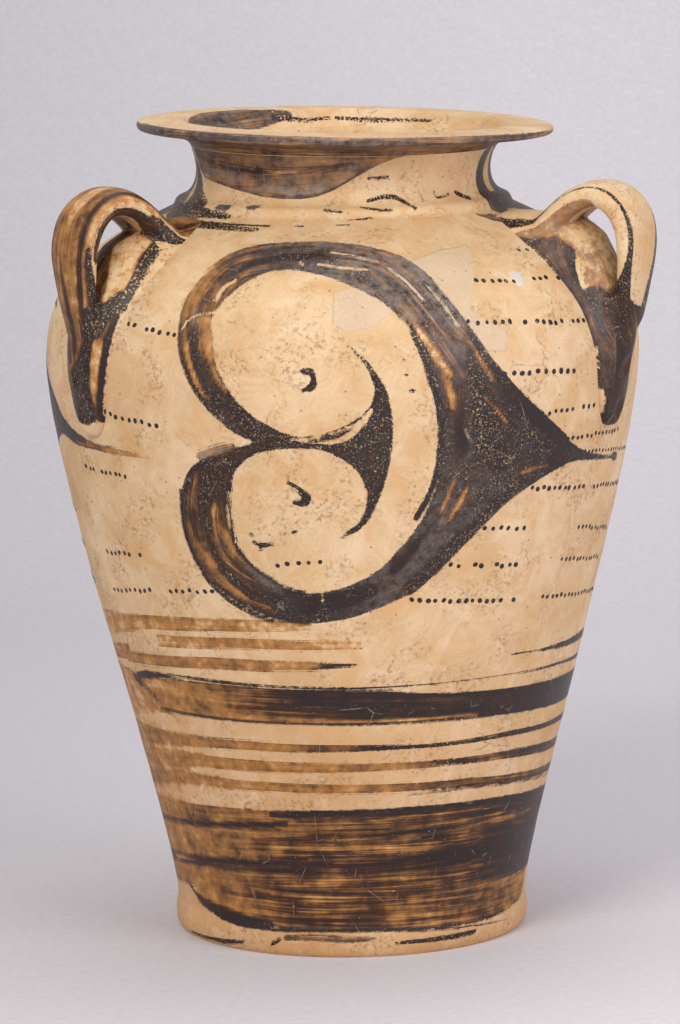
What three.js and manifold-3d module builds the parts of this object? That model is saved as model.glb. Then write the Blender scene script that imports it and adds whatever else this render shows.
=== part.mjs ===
// Three-handled storage jar of buff clay, built up from sections that are luted together with slip.
// Millimetres, +Z up. The flat sole lies at z = 0 with the jar's axis through the origin.
// The painted front faces -Y, and the three strap handles stand 120 degrees apart, one at the back.
import * as THREE from 'three';
import { mergeVertices } from 'three/addons/utils/BufferGeometryUtils.js';
import Module from 'manifold-3d';

const wasm = await Module();
wasm.setup();

// Rises from one level to the next, counted up from the table
const footBulgeHeight = 5.5;
const waistHeight = 13.5;
const lowerSeamRise = 106.5;
const lowerRise = 236.5;
const shoulderRise = 63.8;
const foldRise = 4.8;
const neckRise = 20.9;
const rimRise = 10.5;

// The floor disc, and the width of the ring of clay round it
const floorRadius = 62;
const ringWidth = 12.6;
const footBulge = 2.2;
const waistBulge = 1.3;

// Radii of the outer face above the foot
const bellyRadius = 127.9;
const foldRadius = 74.3;
const neckSpringRadius = 70;
const throatTopRadius = 65.7;
const rimRadius = 89.5;
const rimLandOuterRadius = 79;
const rimLandInnerRadius = 72;
const mouthRadius = 69;

// Clay thicknesses
const floorThickness = 9;
const lowerWall = 8;
const bellyWall = 6.5;
const shoulderWall = 6;
const neckWall = 7;
const lipThickness = 3.6;

// The lip droops a little from its flat land to its rounded edge
const lipDroop = 1;
const lipRound = 1.6;
const mouthRound = 2.2;

// How far the curves of the outline pull away from their end points
const waistPull = 30;
const waistLean = 0.8;
const bellyPullDown = 48;
const bellyPullUp = 41;
const foldPullOut = 22.5;
const foldPullDown = 11;
const springPullIn = 7.4;
const springPullUp = 2.4;
const throatPullIn = 4.1;
const throatPullDown = 8.5;
const lipPullUp = 4.2;
const lipPullIn = 9;

// Seams: a film of slip between pieces, and the bevel that laps one section over the next
const slip = 0.3;
const lap = 3;
const floorBevel = 3;

// Strap handles: an inset is counted inwards from the belly's radius and an outset outwards, and a
// rise upwards from the belly's height and a drop downwards
const handleAngles = { left: 210, right: 330, back: 90 };
const rootInset = 44;
const rootRise = 42;
const rootPullOut = 9.7;
const rootPullUp = 11.4;
const archInset = 10.4;
const archRise = 71.8;
const archPullIn = 12;
const archPullOut = 9;
const elbowOutset = 5.4;
const elbowRise = 50;
const elbowPullUp = 12;
const elbowPullDown = 20;
const strapEndInset = 0.6;
const strapEndDrop = 7.5;
const strapEndPull = 20;

// Strap sizes at the root, over the arch, down the loop and at the pressed end
const rootHalfWidth = 19;
const archHalfWidth = 14.2;
const loopHalfWidth = 13.8;
const tailHalfWidth = 11;
const rootThickness = 12;
const archThickness = 9.4;
const loopThickness = 8;
const tailThickness = 6;
const strapCrown = 1.6;
const strapProud = 4.4;

// Clay smeared on the wall round each handle's roots
const saddleTopRise = 58.5;
const saddleWideRise = 38;
const saddleTopHalfWidth = 13;
const saddleHalfWidth = 20.5;
const saddleEndHalfWidth = 14;
const saddleCrest = 2.2;
const smearEdge = 0.8;

// The wad that closes the lower end, and the two thumb presses
const heelLength = 19;
const heelCrest = 3.8;
const heelBlunt = 0.03;
const thumbDrop = 1;
const thumbRadius = 9;
const thumbDepth = 2;
const heelDimpleDrop = 17.5;
const heelDimpleRadius = 6;
const heelDimpleDepth = 1.8;

// Plaster fill in the neck: its lower edge by angle from the front (-Y) towards +X, and its rise
// above the spring of the neck. At both ends it comes up to near the seam under the rim.
const neckFillFrom = -94;
const neckFillTo = 15.5;
const neckFillEndDepth = 2;
const neckFillEdge = [
  { angle: -60, rise: 11.7 },
  { angle: -38, rise: 5 },
  { angle: -20, rise: 3.9 },
  { angle: -4, rise: 8.4 },
];

// Plaster fill in the shoulder: its lower and upper edge above the belly at each angle
const shoulderFillEdges = [
  { angle: -5.5, low: 24, high: 37 },
  { angle: 3, low: 24.5, high: 42.5 },
  { angle: 8, low: 30.5, high: 47 },
  { angle: 13, low: 27, high: 49.5 },
  { angle: 19, low: 17, high: 52 },
  { angle: 24, low: 12.5, high: 53 },
  { angle: 28.5, low: 12, high: 34 },
];
const plugAngle = 36.7;
const plugRise = 39.5;
const plugRadius = 3.4;

// Facets
const turnSegments = 48;
const wallSteps = 6;
const strapSteps = 24;
const saddleSteps = 7;
const heelSteps = 4;
const smearColumns = 8;
const fillColumnAngle = 5;
const cutReach = 8;

// Radii of the foot
const soleRadius = floorRadius + ringWidth;
const footRadius = soleRadius + footBulge;
const waistRadius = soleRadius + waistBulge;

// Heights above the table
const lowerSeamHeight = waistHeight + lowerSeamRise;
const bellyHeight = waistHeight + lowerRise;
const foldHeight = bellyHeight + shoulderRise;
const neckSpringHeight = foldHeight + foldRise;
const throatTopHeight = neckSpringHeight + neckRise;
const rimHeight = throatTopHeight + rimRise;

const vector = (r, z) => new THREE.Vector2(r, z);

const cubic = (a, b, c, d) => new THREE.CubicBezierCurve(a, b, c, d);

// Outer face of the body from the waist to the belly, and from the belly to the fold under the neck
const lowerCurve = cubic(
  vector(waistRadius, waistHeight),
  vector(waistRadius + waistLean, waistHeight + waistPull),
  vector(bellyRadius, bellyHeight - bellyPullDown),
  vector(bellyRadius, bellyHeight),
);
const shoulderCurve = cubic(
  vector(bellyRadius, bellyHeight),
  vector(bellyRadius, bellyHeight + bellyPullUp),
  vector(foldRadius + foldPullOut, foldHeight - foldPullDown),
  vector(foldRadius, foldHeight),
);

// Outer face of the neck above its small fold
const neckCurve = cubic(
  vector(neckSpringRadius, neckSpringHeight),
  vector(neckSpringRadius - springPullIn, neckSpringHeight + springPullUp),
  vector(throatTopRadius - throatPullIn, throatTopHeight - throatPullDown),
  vector(throatTopRadius, throatTopHeight),
);

// Where a curve passes a height, by halving
function positionAtHeight(curve, height) {
  let low = 0;
  let high = 1;
  for (let i = 0; i < 30; i += 1) {
    const middle = (low + high) / 2;
    if (curve.getPointAt(middle).y < height) {
      low = middle;
    } else {
      high = middle;
    }
  }
  return (low + high) / 2;
}

// A point on the outer face with its outward normal and the direction up the wall
function stationOn(curve, t) {
  const point = curve.getPointAt(t);
  const along = curve.getTangentAt(t);
  return { point, along, normal: vector(along.y, -along.x) };
}

function bodyStation(height) {
  const curve = height < bellyHeight ? lowerCurve : shoulderCurve;
  return stationOn(curve, positionAtHeight(curve, height));
}

const offset = (station, lift) => station.point.clone().addScaledVector(station.normal, lift);

// Solids for joining and cutting, and back again
function solidOf(geometry) {
  const bare = geometry.clone();
  bare.deleteAttribute('normal');
  bare.deleteAttribute('uv');
  const merged = mergeVertices(bare, 1e-4);
  const mesh = new wasm.Mesh({
    numProp: 3,
    vertProperties: new Float32Array(merged.attributes.position.array),
    triVerts: new Uint32Array(merged.index.array),
  });
  return new wasm.Manifold(mesh);
}

function geometryOf(solid) {
  const mesh = solid.getMesh();
  const geometry = new THREE.BufferGeometry();
  geometry.setAttribute('position', new THREE.BufferAttribute(new Float32Array(mesh.vertProperties), 3));
  geometry.setIndex(new THREE.BufferAttribute(new Uint32Array(mesh.triVerts), 1));
  geometry.computeVertexNormals();
  return geometry;
}

// Turned piece: a closed profile of radius and height spun round the Z axis
function turned(profile) {
  const geometry = new THREE.LatheGeometry([...profile, profile[0]], turnSegments);
  return geometry.rotateX(Math.PI / 2);
}

// Closed skin through rings of equal length, with a flat fan over each end
function lofted(rings) {
  const count = rings[0].length;
  const positions = rings.flat();
  const indices = [];
  for (let ring = 0; ring < rings.length - 1; ring += 1) {
    for (let i = 0; i < count; i += 1) {
      const a = ring * count + i;
      const b = ring * count + ((i + 1) % count);
      indices.push(a, b, b + count, a, b + count, a + count);
    }
  }
  const last = (rings.length - 1) * count;
  for (let i = 1; i < count - 1; i += 1) {
    indices.push(0, i + 1, i, last, last + i, last + i + 1);
  }
  const geometry = new THREE.BufferGeometry().setFromPoints(positions);
  geometry.setIndex(indices);
  geometry.computeVertexNormals();
  return geometry;
}

// Inner corner of the bevel on top of a section, with the gap that a neighbour keeps above it
function lapCorner(station, wall, gap) {
  return offset(station, -wall).addScaledVector(station.along, lap + gap);
}

// One wall section between two places on a curve. Its lower end leaves room for the film of slip,
// and both ends are bevelled so that the inside laps upwards.
function wallSection(curve, from, to, wallFrom, wallTo) {
  const length = curve.getLength();
  const outerStart = from + slip / length;
  const innerStart = from + (slip + lap) / length;
  const outside = [curve.getPointAt(outerStart)];
  const inside = [lapCorner(stationOn(curve, from), wallFrom, slip)];
  for (let i = 1; i <= wallSteps; i += 1) {
    const share = i / wallSteps;
    outside.push(curve.getPointAt(THREE.MathUtils.lerp(outerStart, to, share)));
    const wall = THREE.MathUtils.lerp(wallFrom, wallTo, share);
    inside.push(offset(stationOn(curve, THREE.MathUtils.lerp(innerStart, to, share)), -wall));
  }
  inside.push(lapCorner(stationOn(curve, to), wallTo, 0));
  return [...outside, ...inside.reverse()];
}

const lowerSeam = positionAtHeight(lowerCurve, lowerSeamHeight);
const seamWall = THREE.MathUtils.lerp(lowerWall, bellyWall, lowerSeam);

function floorDiscProfile() {
  return [
    vector(0, 0),
    vector(floorRadius, 0),
    vector(floorRadius + floorBevel, floorThickness),
    vector(0, floorThickness),
  ];
}

function footRingProfile() {
  const side = new THREE.SplineCurve([
    vector(soleRadius, 0),
    vector(footRadius, footBulgeHeight),
    vector(waistRadius, waistHeight),
  ]);
  const seat = lapCorner(stationOn(lowerCurve, 0), lowerWall, 0);
  return [
    vector(floorRadius + slip, 0),
    ...side.getPoints(5),
    seat,
    vector(floorRadius + floorBevel + slip, floorThickness),
  ];
}

function neckProfile() {
  const seat = stationOn(shoulderCurve, 1);
  const start = seat.point.clone().addScaledVector(seat.along, slip);
  const fold = new THREE.QuadraticBezierCurve(
    start,
    vector(start.x, neckSpringHeight),
    vector(neckSpringRadius, neckSpringHeight),
  );
  const outside = neckCurve.getSpacedPoints(wallSteps);
  const inside = [];
  for (let i = 0; i <= wallSteps; i += 1) {
    inside.push(offset(stationOn(neckCurve, i / wallSteps), -neckWall));
  }
  inside.push(lapCorner(stationOn(neckCurve, 1), neckWall, 0));
  const foot = lapCorner(seat, shoulderWall, slip);
  return [...fold.getPoints(3).slice(0, -1), ...outside, ...inside.reverse(), foot];
}

function rimProfile() {
  const seat = stationOn(neckCurve, 1);
  const start = seat.point.clone().addScaledVector(seat.along, slip);
  const edgeTop = rimHeight - lipDroop;
  const edgeBottom = edgeTop - lipThickness;
  const underside = cubic(
    start,
    start.clone().addScaledVector(seat.along, lipPullUp),
    vector(rimRadius - lipRound - lipPullIn, edgeBottom),
    vector(rimRadius - lipRound, edgeBottom),
  );
  const edge = new THREE.EllipseCurve(
    rimRadius - lipRound,
    (edgeTop + edgeBottom) / 2,
    lipRound,
    lipThickness / 2,
    -Math.PI / 2,
    Math.PI / 2,
  );
  const mouthTop = vector(rimLandInnerRadius, rimHeight);
  const mouthSide = vector(mouthRadius, rimHeight - mouthRound);
  const mouth = new THREE.QuadraticBezierCurve(mouthTop, vector(mouthRadius, rimHeight), mouthSide);
  return [
    ...underside.getPoints(5),
    ...edge.getPoints(4).slice(1),
    vector(rimLandOuterRadius, rimHeight),
    ...mouth.getPoints(3),
    lapCorner(seat, neckWall, slip),
  ];
}

// A place above the body's face: round the axis by a width along the wall, out along the normal
function abovePoint(station, angle, width, lift) {
  const place = offset(station, lift);
  const turn = THREE.MathUtils.degToRad(angle) + width / station.point.x;
  return new THREE.Vector3(place.x * Math.cos(turn), place.x * Math.sin(turn), place.y);
}

// Clay smeared on the body: full in the middle of each row and thin at its sides. It reaches into
// the wall, to be cut off at the wall's face. Grown by a gap, it cuts room in its neighbours.
function smear(rows, angle, gap) {
  const rings = rows.map((row) => {
    const station = bodyStation(bellyHeight + row.rise);
    const halfWidth = row.halfWidth + gap;
    const top = [];
    const under = [];
    for (let i = 0; i <= smearColumns; i += 1) {
      const across = 1 - (2 * i) / smearColumns;
      const lift = smearEdge + (row.crest - smearEdge) * (1 - across ** 2) + gap;
      top.push(abovePoint(station, angle, across * halfWidth, lift));
      under.push(abovePoint(station, angle, across * halfWidth, -shoulderWall));
    }
    return [...top, ...under.reverse()];
  });
  return lofted(rings);
}

// The body's outer face as one solid, grown by the film of slip: what the handles are cut to sit on
function bodyBed() {
  const rise = [];
  for (let i = 0; i <= wallSteps; i += 1) {
    const share = THREE.MathUtils.lerp(lowerSeam, 1, i / wallSteps);
    rise.push(offset(stationOn(lowerCurve, share), slip));
  }
  for (let i = 1; i <= wallSteps; i += 1) {
    rise.push(offset(stationOn(shoulderCurve, i / wallSteps), slip));
  }
  return turned([vector(0, rise[0].y), ...rise, vector(0, rise.at(-1).y)]);
}

// Strap section: flat underside, crisp side edges and a crowned outer face
function strapRing(station, halfWidth, thickness, angle) {
  const turn = THREE.MathUtils.degToRad(angle);
  const outward = new THREE.Vector2(Math.cos(turn), Math.sin(turn));
  const sideways = new THREE.Vector2(-Math.sin(turn), Math.cos(turn));
  const place = (across, lift) => {
    const at = offset(station, lift);
    const flat = outward.clone().multiplyScalar(at.x).addScaledVector(sideways, across * halfWidth);
    return new THREE.Vector3(flat.x, flat.y, at.y);
  };
  const ring = [];
  for (let i = 0; i <= 6; i += 1) {
    const across = 1 - i / 3;
    const round = across ** 4 * strapCrown;
    ring.push(place(across, thickness / 2 + strapCrown * (1 - across ** 2) - round / 2));
  }
  for (let i = 0; i <= 4; i += 1) {
    const across = i / 2 - 1;
    ring.push(place(across, -thickness / 2 + (across ** 4 * strapCrown) / 2));
  }
  return ring;
}

function strap(angle) {
  const root = vector(bellyRadius - rootInset, bellyHeight + rootRise);
  const arch = vector(bellyRadius - archInset, bellyHeight + archRise);
  const elbow = vector(bellyRadius + elbowOutset, bellyHeight + elbowRise);
  const end = vector(bellyRadius - strapEndInset, bellyHeight - strapEndDrop);
  const rootPull = vector(root.x + rootPullOut, root.y + rootPullUp);
  const elbowPull = vector(elbow.x, elbow.y + elbowPullUp);
  const tailPull = vector(elbow.x, elbow.y - elbowPullDown);
  const endPull = vector(end.x, end.y + strapEndPull);
  const path = new THREE.CurvePath();
  path.add(cubic(root, rootPull, vector(arch.x - archPullIn, arch.y), arch));
  path.add(cubic(arch, vector(arch.x + archPullOut, arch.y), elbowPull, elbow));
  path.add(cubic(elbow, tailPull, endPull, end));
  const sizes = new THREE.SplineCurve([
    vector(rootHalfWidth, rootThickness),
    vector(archHalfWidth, archThickness),
    vector(loopHalfWidth, loopThickness),
    vector(tailHalfWidth, tailThickness),
  ]);
  const rings = [];
  for (let i = 0; i <= strapSteps; i += 1) {
    const share = i / strapSteps;
    const along = path.getTangentAt(share);
    const station = { point: path.getPointAt(share), normal: vector(-along.y, along.x) };
    const size = sizes.getPoint(share);
    rings.push(strapRing(station, size.x, size.y, angle));
  }
  return lofted(rings);
}

// The saddle widens from the upper root and narrows again to the pressed end
function saddleRows() {
  const rows = [];
  const end = slip - strapEndDrop;
  for (let i = 0; i <= saddleSteps; i += 1) {
    const rise = THREE.MathUtils.lerp(saddleTopRise, end, i / saddleSteps);
    const upper = rise > saddleWideRise;
    const limit = upper ? saddleTopRise : end;
    const narrow = upper ? saddleTopHalfWidth : saddleEndHalfWidth;
    const away = (rise - saddleWideRise) / (limit - saddleWideRise);
    const halfWidth = THREE.MathUtils.lerp(saddleHalfWidth, narrow, away ** 2);
    rows.push({ rise, halfWidth, crest: saddleCrest });
  }
  return rows;
}

// The heel narrows in a half oval to a blunt, thin tip
function heelRows() {
  const rows = [];
  for (let i = 0; i <= heelSteps; i += 1) {
    const share = i / heelSteps;
    const oval = Math.sqrt(1 + heelBlunt - share ** 2);
    const rise = -strapEndDrop - heelLength * share;
    const crest = Math.max(heelCrest * oval, smearEdge);
    rows.push({ rise, halfWidth: saddleEndHalfWidth * oval, crest });
  }
  return rows;
}

// A ball that presses a dimple of a given depth below a lift over the wall
function thumb(angle, drop, lift, radius, depth) {
  const centre = abovePoint(bodyStation(bellyHeight - drop), angle, 0, lift + radius - depth);
  return new THREE.SphereGeometry(radius, 16, 10).translate(centre.x, centre.y, centre.z);
}

// Cutter through the whole wall, given its lower and upper edge at each angle from the front
function fillCutter(columns) {
  const rings = columns.map(({ angle, low, high }) => {
    const ends = [
      offset(low, cutReach),
      offset(low, -cutReach - shoulderWall),
      offset(high, -cutReach - shoulderWall),
      offset(high, cutReach),
    ];
    const turn = THREE.MathUtils.degToRad(angle - 90);
    return ends.map((end) => new THREE.Vector3(end.x * Math.cos(turn), end.x * Math.sin(turn), end.y));
  });
  return lofted(rings);
}

// The U-shaped fill runs up to the seam under the rim. Its cutter grows by a gap on every side.
function neckFillCutter(gap) {
  const edge = new THREE.SplineCurve([
    vector(neckFillFrom, neckRise - neckFillEndDepth),
    ...neckFillEdge.map((row) => vector(row.angle, row.rise)),
    vector(neckFillTo, neckRise - neckFillEndDepth),
  ]);
  const gapAngle = THREE.MathUtils.radToDeg(gap / throatTopRadius);
  const last = Math.ceil((neckFillTo - neckFillFrom) / fillColumnAngle);
  const level = vector(1, 0);
  const high = { point: vector(throatTopRadius, rimHeight), normal: level };
  const columns = [];
  for (let i = 0; i <= last; i += 1) {
    const place = edge.getPoint(i / last);
    const outwards = (i === last) - (i === 0);
    const low = { point: vector(throatTopRadius, neckSpringHeight + place.y - gap), normal: level };
    columns.push({ angle: place.x + outwards * gapAngle, low, high });
  }
  return fillCutter(columns);
}

function shoulderFillCutter(gap) {
  const gapAngle = THREE.MathUtils.radToDeg(gap / bellyRadius);
  const last = shoulderFillEdges.length - 1;
  const columns = shoulderFillEdges.map((row, i) => {
    const outwards = (i === last) - (i === 0);
    const low = bodyStation(bellyHeight + row.low - gap);
    const high = bodyStation(bellyHeight + row.high + gap);
    return { angle: row.angle + outwards * gapAngle, low, high };
  });
  return fillCutter(columns);
}

// The round plug is a short cylinder standing on the wall
function plugCutter(gap) {
  const station = bodyStation(bellyHeight + plugRise);
  const length = shoulderWall + 2 * cutReach;
  const cylinder = new THREE.CylinderGeometry(plugRadius + gap, plugRadius + gap, length, 16);
  const angle = plugAngle - 90;
  const foot = abovePoint(station, angle, 0, 0);
  const tip = abovePoint(station, angle, 0, 1);
  const direction = tip.sub(foot);
  const turn = new THREE.Quaternion().setFromUnitVectors(new THREE.Vector3(0, 1, 0), direction);
  return cylinder.applyQuaternion(turn).translate(foot.x, foot.y, foot.z);
}

// Materials
const buffClay = { color: 0xd9b27c, roughness: 0.75, metalness: 0 };
const brownPaint = { color: 0x8a5a2e, roughness: 0.6, metalness: 0 };
const darkPaint = { color: 0x3a2a22, roughness: 0.55, metalness: 0 };
const plaster = { color: 0xcdb590, roughness: 0.9, metalness: 0 };
const greyPlaster = { color: 0xc9c4ba, roughness: 0.95, metalness: 0 };

const jar = new THREE.Group();

function addPiece(name, geometry, finish) {
  const mesh = new THREE.Mesh(geometry, new THREE.MeshStandardMaterial(finish));
  mesh.name = name;
  jar.add(mesh);
}

const shoulderSolid = solidOf(turned(wallSection(shoulderCurve, 0, 1, bellyWall, shoulderWall)));
const neckSolid = solidOf(turned(neckProfile()));

addPiece('floor_disc', turned(floorDiscProfile()), buffClay);
addPiece('foot_ring', turned(footRingProfile()), buffClay);
addPiece('lower_wall', turned(wallSection(lowerCurve, 0, lowerSeam, lowerWall, seamWall)), darkPaint);
addPiece('belly_wall', turned(wallSection(lowerCurve, lowerSeam, 1, seamWall, bellyWall)), buffClay);
addPiece('rim', turned(rimProfile()), buffClay);

const shoulderHole = solidOf(shoulderFillCutter(slip)).add(solidOf(plugCutter(slip)));
addPiece('shoulder', geometryOf(shoulderSolid.subtract(shoulderHole)), buffClay);
addPiece('shoulder_fill', geometryOf(shoulderSolid.intersect(solidOf(shoulderFillCutter(0)))), plaster);
addPiece('shoulder_plug', geometryOf(shoulderSolid.intersect(solidOf(plugCutter(0)))), greyPlaster);
addPiece('neck', geometryOf(neckSolid.subtract(solidOf(neckFillCutter(slip)))), buffClay);
addPiece('neck_fill', geometryOf(neckSolid.intersect(solidOf(neckFillCutter(0)))), plaster);

const bed = solidOf(bodyBed());
for (const [side, angle] of Object.entries(handleAngles)) {
  const saddleRoom = solidOf(smear(saddleRows(), angle, slip));
  const strapThumb = solidOf(thumb(angle, thumbDrop, strapProud, thumbRadius, thumbDepth));
  const heelThumb = solidOf(thumb(angle, heelDimpleDrop, heelCrest, heelDimpleRadius, heelDimpleDepth));
  const saddleSolid = solidOf(smear(saddleRows(), angle, 0)).subtract(bed);
  const strapSolid = solidOf(strap(angle)).subtract(bed).subtract(saddleRoom).subtract(strapThumb);
  const heelSolid = solidOf(smear(heelRows(), angle, 0)).subtract(bed).subtract(heelThumb);
  addPiece(`handle_saddle_${side}`, geometryOf(saddleSolid), darkPaint);
  addPiece(`handle_strap_${side}`, geometryOf(strapSolid), brownPaint);
  addPiece(`handle_heel_${side}`, geometryOf(heelSolid), darkPaint);
}

export default jar;
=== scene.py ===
import math

import bmesh
import bpy
import numpy as np
from mathutils import Matrix, Vector


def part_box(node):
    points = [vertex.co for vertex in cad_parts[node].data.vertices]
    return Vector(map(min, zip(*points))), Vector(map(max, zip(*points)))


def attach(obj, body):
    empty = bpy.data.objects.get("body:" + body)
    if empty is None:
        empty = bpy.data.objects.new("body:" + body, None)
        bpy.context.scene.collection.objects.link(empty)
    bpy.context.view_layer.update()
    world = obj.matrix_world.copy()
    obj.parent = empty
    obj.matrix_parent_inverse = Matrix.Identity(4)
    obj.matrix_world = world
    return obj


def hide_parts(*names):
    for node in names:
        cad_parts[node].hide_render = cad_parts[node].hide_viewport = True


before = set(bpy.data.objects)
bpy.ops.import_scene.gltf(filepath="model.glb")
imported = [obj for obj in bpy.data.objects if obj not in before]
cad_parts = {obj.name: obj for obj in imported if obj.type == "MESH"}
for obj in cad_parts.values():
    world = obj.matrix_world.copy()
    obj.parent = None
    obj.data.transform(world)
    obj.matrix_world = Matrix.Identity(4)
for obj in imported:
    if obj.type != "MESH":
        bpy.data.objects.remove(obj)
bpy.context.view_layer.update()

# Studio: the jar stands on a sheet of pale lilac-grey paper that sweeps up behind it.
# The camera looks slightly down on it from a little left of the painted front. Soft light comes
# from the upper left, and the paper itself fills the shadows.
MM = 0.001
camera_distance = 2.255
camera_height = 0.521
camera_turn = math.radians(-3.5)
camera_pitch = math.radians(8.58)
camera_roll = math.radians(0.75)
frame_width_px = 680
frame_height_px = 1024
focal_length_px = 5264
sensor_mm = 36
axis_right_px = 7.3
axis_up_px = 2

to_camera = Vector((math.sin(camera_turn), -math.cos(camera_turn), 0))
picture_right = Vector((math.cos(camera_turn), math.sin(camera_turn), 0))
looking = -to_camera * math.cos(camera_pitch) - Vector((0, 0, math.sin(camera_pitch)))
picture_up = picture_right.cross(looking)
camera_x = picture_right * math.cos(camera_roll) - picture_up * math.sin(camera_roll)
camera_y = picture_right * math.sin(camera_roll) + picture_up * math.cos(camera_roll)

camera = bpy.data.objects.new("camera", bpy.data.cameras.new("camera"))
camera.data.sensor_width = sensor_mm
camera.data.lens = sensor_mm * focal_length_px / frame_height_px
camera.data.shift_x = -axis_right_px / frame_height_px
camera.data.shift_y = -axis_up_px / frame_height_px
turned_view = Matrix((camera_x, camera_y, -looking)).transposed().to_4x4()
camera_place = to_camera * camera_distance + Vector((0, 0, camera_height))
camera.matrix_world = Matrix.Translation(camera_place) @ turned_view
bpy.context.scene.collection.objects.link(camera)
bpy.context.scene.camera = camera
bpy.context.scene.view_settings.view_transform = "Standard"


def linear(code):
    """Turns an sRGB hex colour such as "d8b98c" into a linear one."""
    parts = [int(code[i : i + 2], 16) / 255 for i in (0, 2, 4)]
    return [p / 12.92 if p <= 0.04045 else ((p + 0.055) / 1.055) ** 2.4 for p in parts] + [1]


def add(tree, kind, inputs=None, stops=None, **settings):
    """Adds a node. An input takes a number, a colour, a node or one of a node's outputs."""
    node = tree.nodes.new(kind)
    for name, value in settings.items():
        setattr(node, name, value)
    for name, value in (inputs or {}).items():
        if isinstance(value, bpy.types.Node):
            value = next(output for output in value.outputs if output.enabled)
        if isinstance(value, bpy.types.NodeSocket):
            tree.links.new(value, node.inputs[name])
        else:
            node.inputs[name].default_value = value
    for i, (position, code) in enumerate(stops or []):
        elements = node.color_ramp.elements
        element = elements[i] if i < 2 else elements.new(position)
        element.position = position
        element.color = linear(code)
    return node


def remap(tree, value, before=(0, 1), after=(0, 1), **settings):
    """Maps a value from one range to another and holds it there."""
    inputs = dict(zip(("Value", "From Min", "From Max", "To Min", "To Max"), (value, *before, *after)))
    return add(tree, "ShaderNodeMapRange", inputs, **settings)


def maths(tree, operation, *values):
    return add(tree, "ShaderNodeMath", dict(enumerate(values)), operation=operation)


def mixed(tree, share, first, second):
    """Mixes a share of the second colour into the first."""
    return add(tree, "ShaderNodeMix", {0: share, 6: first, 7: second}, data_type="RGBA")


def new_mesh(name, points, faces):
    """Makes a smooth mesh object from points in millimetres and faces of three or four corners."""
    mesh = bpy.data.meshes.new(name)
    mesh.from_pydata((np.asarray(points) * MM).tolist(), [], [list(map(int, f)) for f in faces])
    mesh.shade_smooth()
    piece = bpy.data.objects.new(name, mesh)
    bpy.context.scene.collection.objects.link(piece)
    return piece


sweep_rise_start = 750
sweep_radius = 900
sweep_width = 4200
sweep_front = -2600
sweep_top = 3200
sweep_steps = 24
sweep_profile = [(sweep_front, 0), (sweep_rise_start, 0)]
for step in range(1, sweep_steps + 1):
    turn = math.radians(90 * step / sweep_steps)
    reach = sweep_rise_start + sweep_radius * math.sin(turn)
    sweep_profile.append((reach, sweep_radius * (1 - math.cos(turn))))
sweep_profile.append((sweep_rise_start + sweep_radius, sweep_top))
sweep_points = []
for reach, rise in sweep_profile:
    sweep_points.append((-sweep_width / 2, reach, rise))
    sweep_points.append((sweep_width / 2, reach, rise))
sweep_faces = [(2 * i, 2 * i + 1, 2 * i + 3, 2 * i + 2) for i in range(len(sweep_profile) - 1)]
sweep = new_mesh("paper_sweep", sweep_points, sweep_faces)

# Matt lilac-grey paper: a faint cloudy tooth, with painted light that makes it a little paler
# towards its right side and brighter towards the front. The camera sees through its back, so
# that it doesn't hide the jar in a view from behind.
paper = bpy.data.materials.new("matt lilac-grey paper")
paper.use_nodes = True
tree = paper.node_tree
shader = tree.nodes["Principled BSDF"]
shader.inputs["Roughness"].default_value = 0.9
shader.inputs["Specular IOR Level"].default_value = 0.1
where = add(tree, "ShaderNodeTexCoord").outputs["Object"]
tooth = add(tree, "ShaderNodeTexNoise", {"Vector": where, "Scale": 260.0, "Detail": 3.0})
tooth_and_painted_light = remap(tree, tooth, (0.3, 0.7), (0.96, 1.04))
place = add(tree, "ShaderNodeSeparateXYZ", {0: where})
place_x, place_y = place.outputs["X"], place.outputs["Y"]
# Painted light: the paper brightens towards the front
painted_light_frontwards = remap(tree, place_y, (0.0, -0.35), (1.0, 1.14))
tooth_and_painted_light = maths(tree, "MULTIPLY", tooth_and_painted_light, painted_light_frontwards)
# Painted light: the paper turns paler towards its right side, as if lit more from there
rightwards = remap(tree, place_x, (-0.25, 0.2))
paper_tone_with_painted_light = mixed(tree, rightwards, linear("c5c3c9"), linear("d9d6db"))
paper_colour_with_painted_light = add(tree, "ShaderNodeVectorMath", {0: paper_tone_with_painted_light, "Scale": tooth_and_painted_light}, operation="SCALE")
tree.links.new(paper_colour_with_painted_light.outputs[0], shader.inputs["Base Color"])
seen_through = tree.nodes.new("ShaderNodeBsdfTransparent")
behind = add(tree, "ShaderNodeNewGeometry").outputs["Backfacing"]
looked_at = add(tree, "ShaderNodeLightPath").outputs["Is Camera Ray"]
from_behind = maths(tree, "MULTIPLY", behind, looked_at)
one_sided = add(tree, "ShaderNodeMixShader", {0: from_behind, 1: shader, 2: seen_through})
tree.links.new(one_sided.outputs[0], tree.nodes["Material Output"].inputs["Surface"])
sweep.data.materials.append(paper)

world = bpy.data.worlds.new("soft room light")
world.use_nodes = True
world.node_tree.nodes["Background"].inputs["Color"].default_value = linear("eceaec")
world.node_tree.nodes["Background"].inputs["Strength"].default_value = 0.56
bpy.context.scene.world = world

lamps = {
    "key softbox": dict(place=(-0.95, -1.6, 1.45), size=0.9, power=26.5, colour="fffaf2"),
    "fill softbox": dict(place=(1.5, -1.5, 0.9), size=1.3, power=21, colour="fdfbff"),
    "top softbox": dict(place=(0.1, 0.5, 2.0), size=1.2, power=9, colour="ffffff"),
}
aim = Vector((0, 0, 0.2))
for name, lamp in lamps.items():
    light = bpy.data.lights.new(name, "AREA")
    light.size = lamp["size"]
    light.energy = lamp["power"]
    light.color = linear(lamp["colour"])[:3]
    holder = bpy.data.objects.new(name, light)
    holder.location = lamp["place"]
    holder.rotation_euler = (Vector(lamp["place"]) - aim).to_track_quat("Z", "Y").to_euler()
    bpy.context.scene.collection.objects.link(holder)

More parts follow.
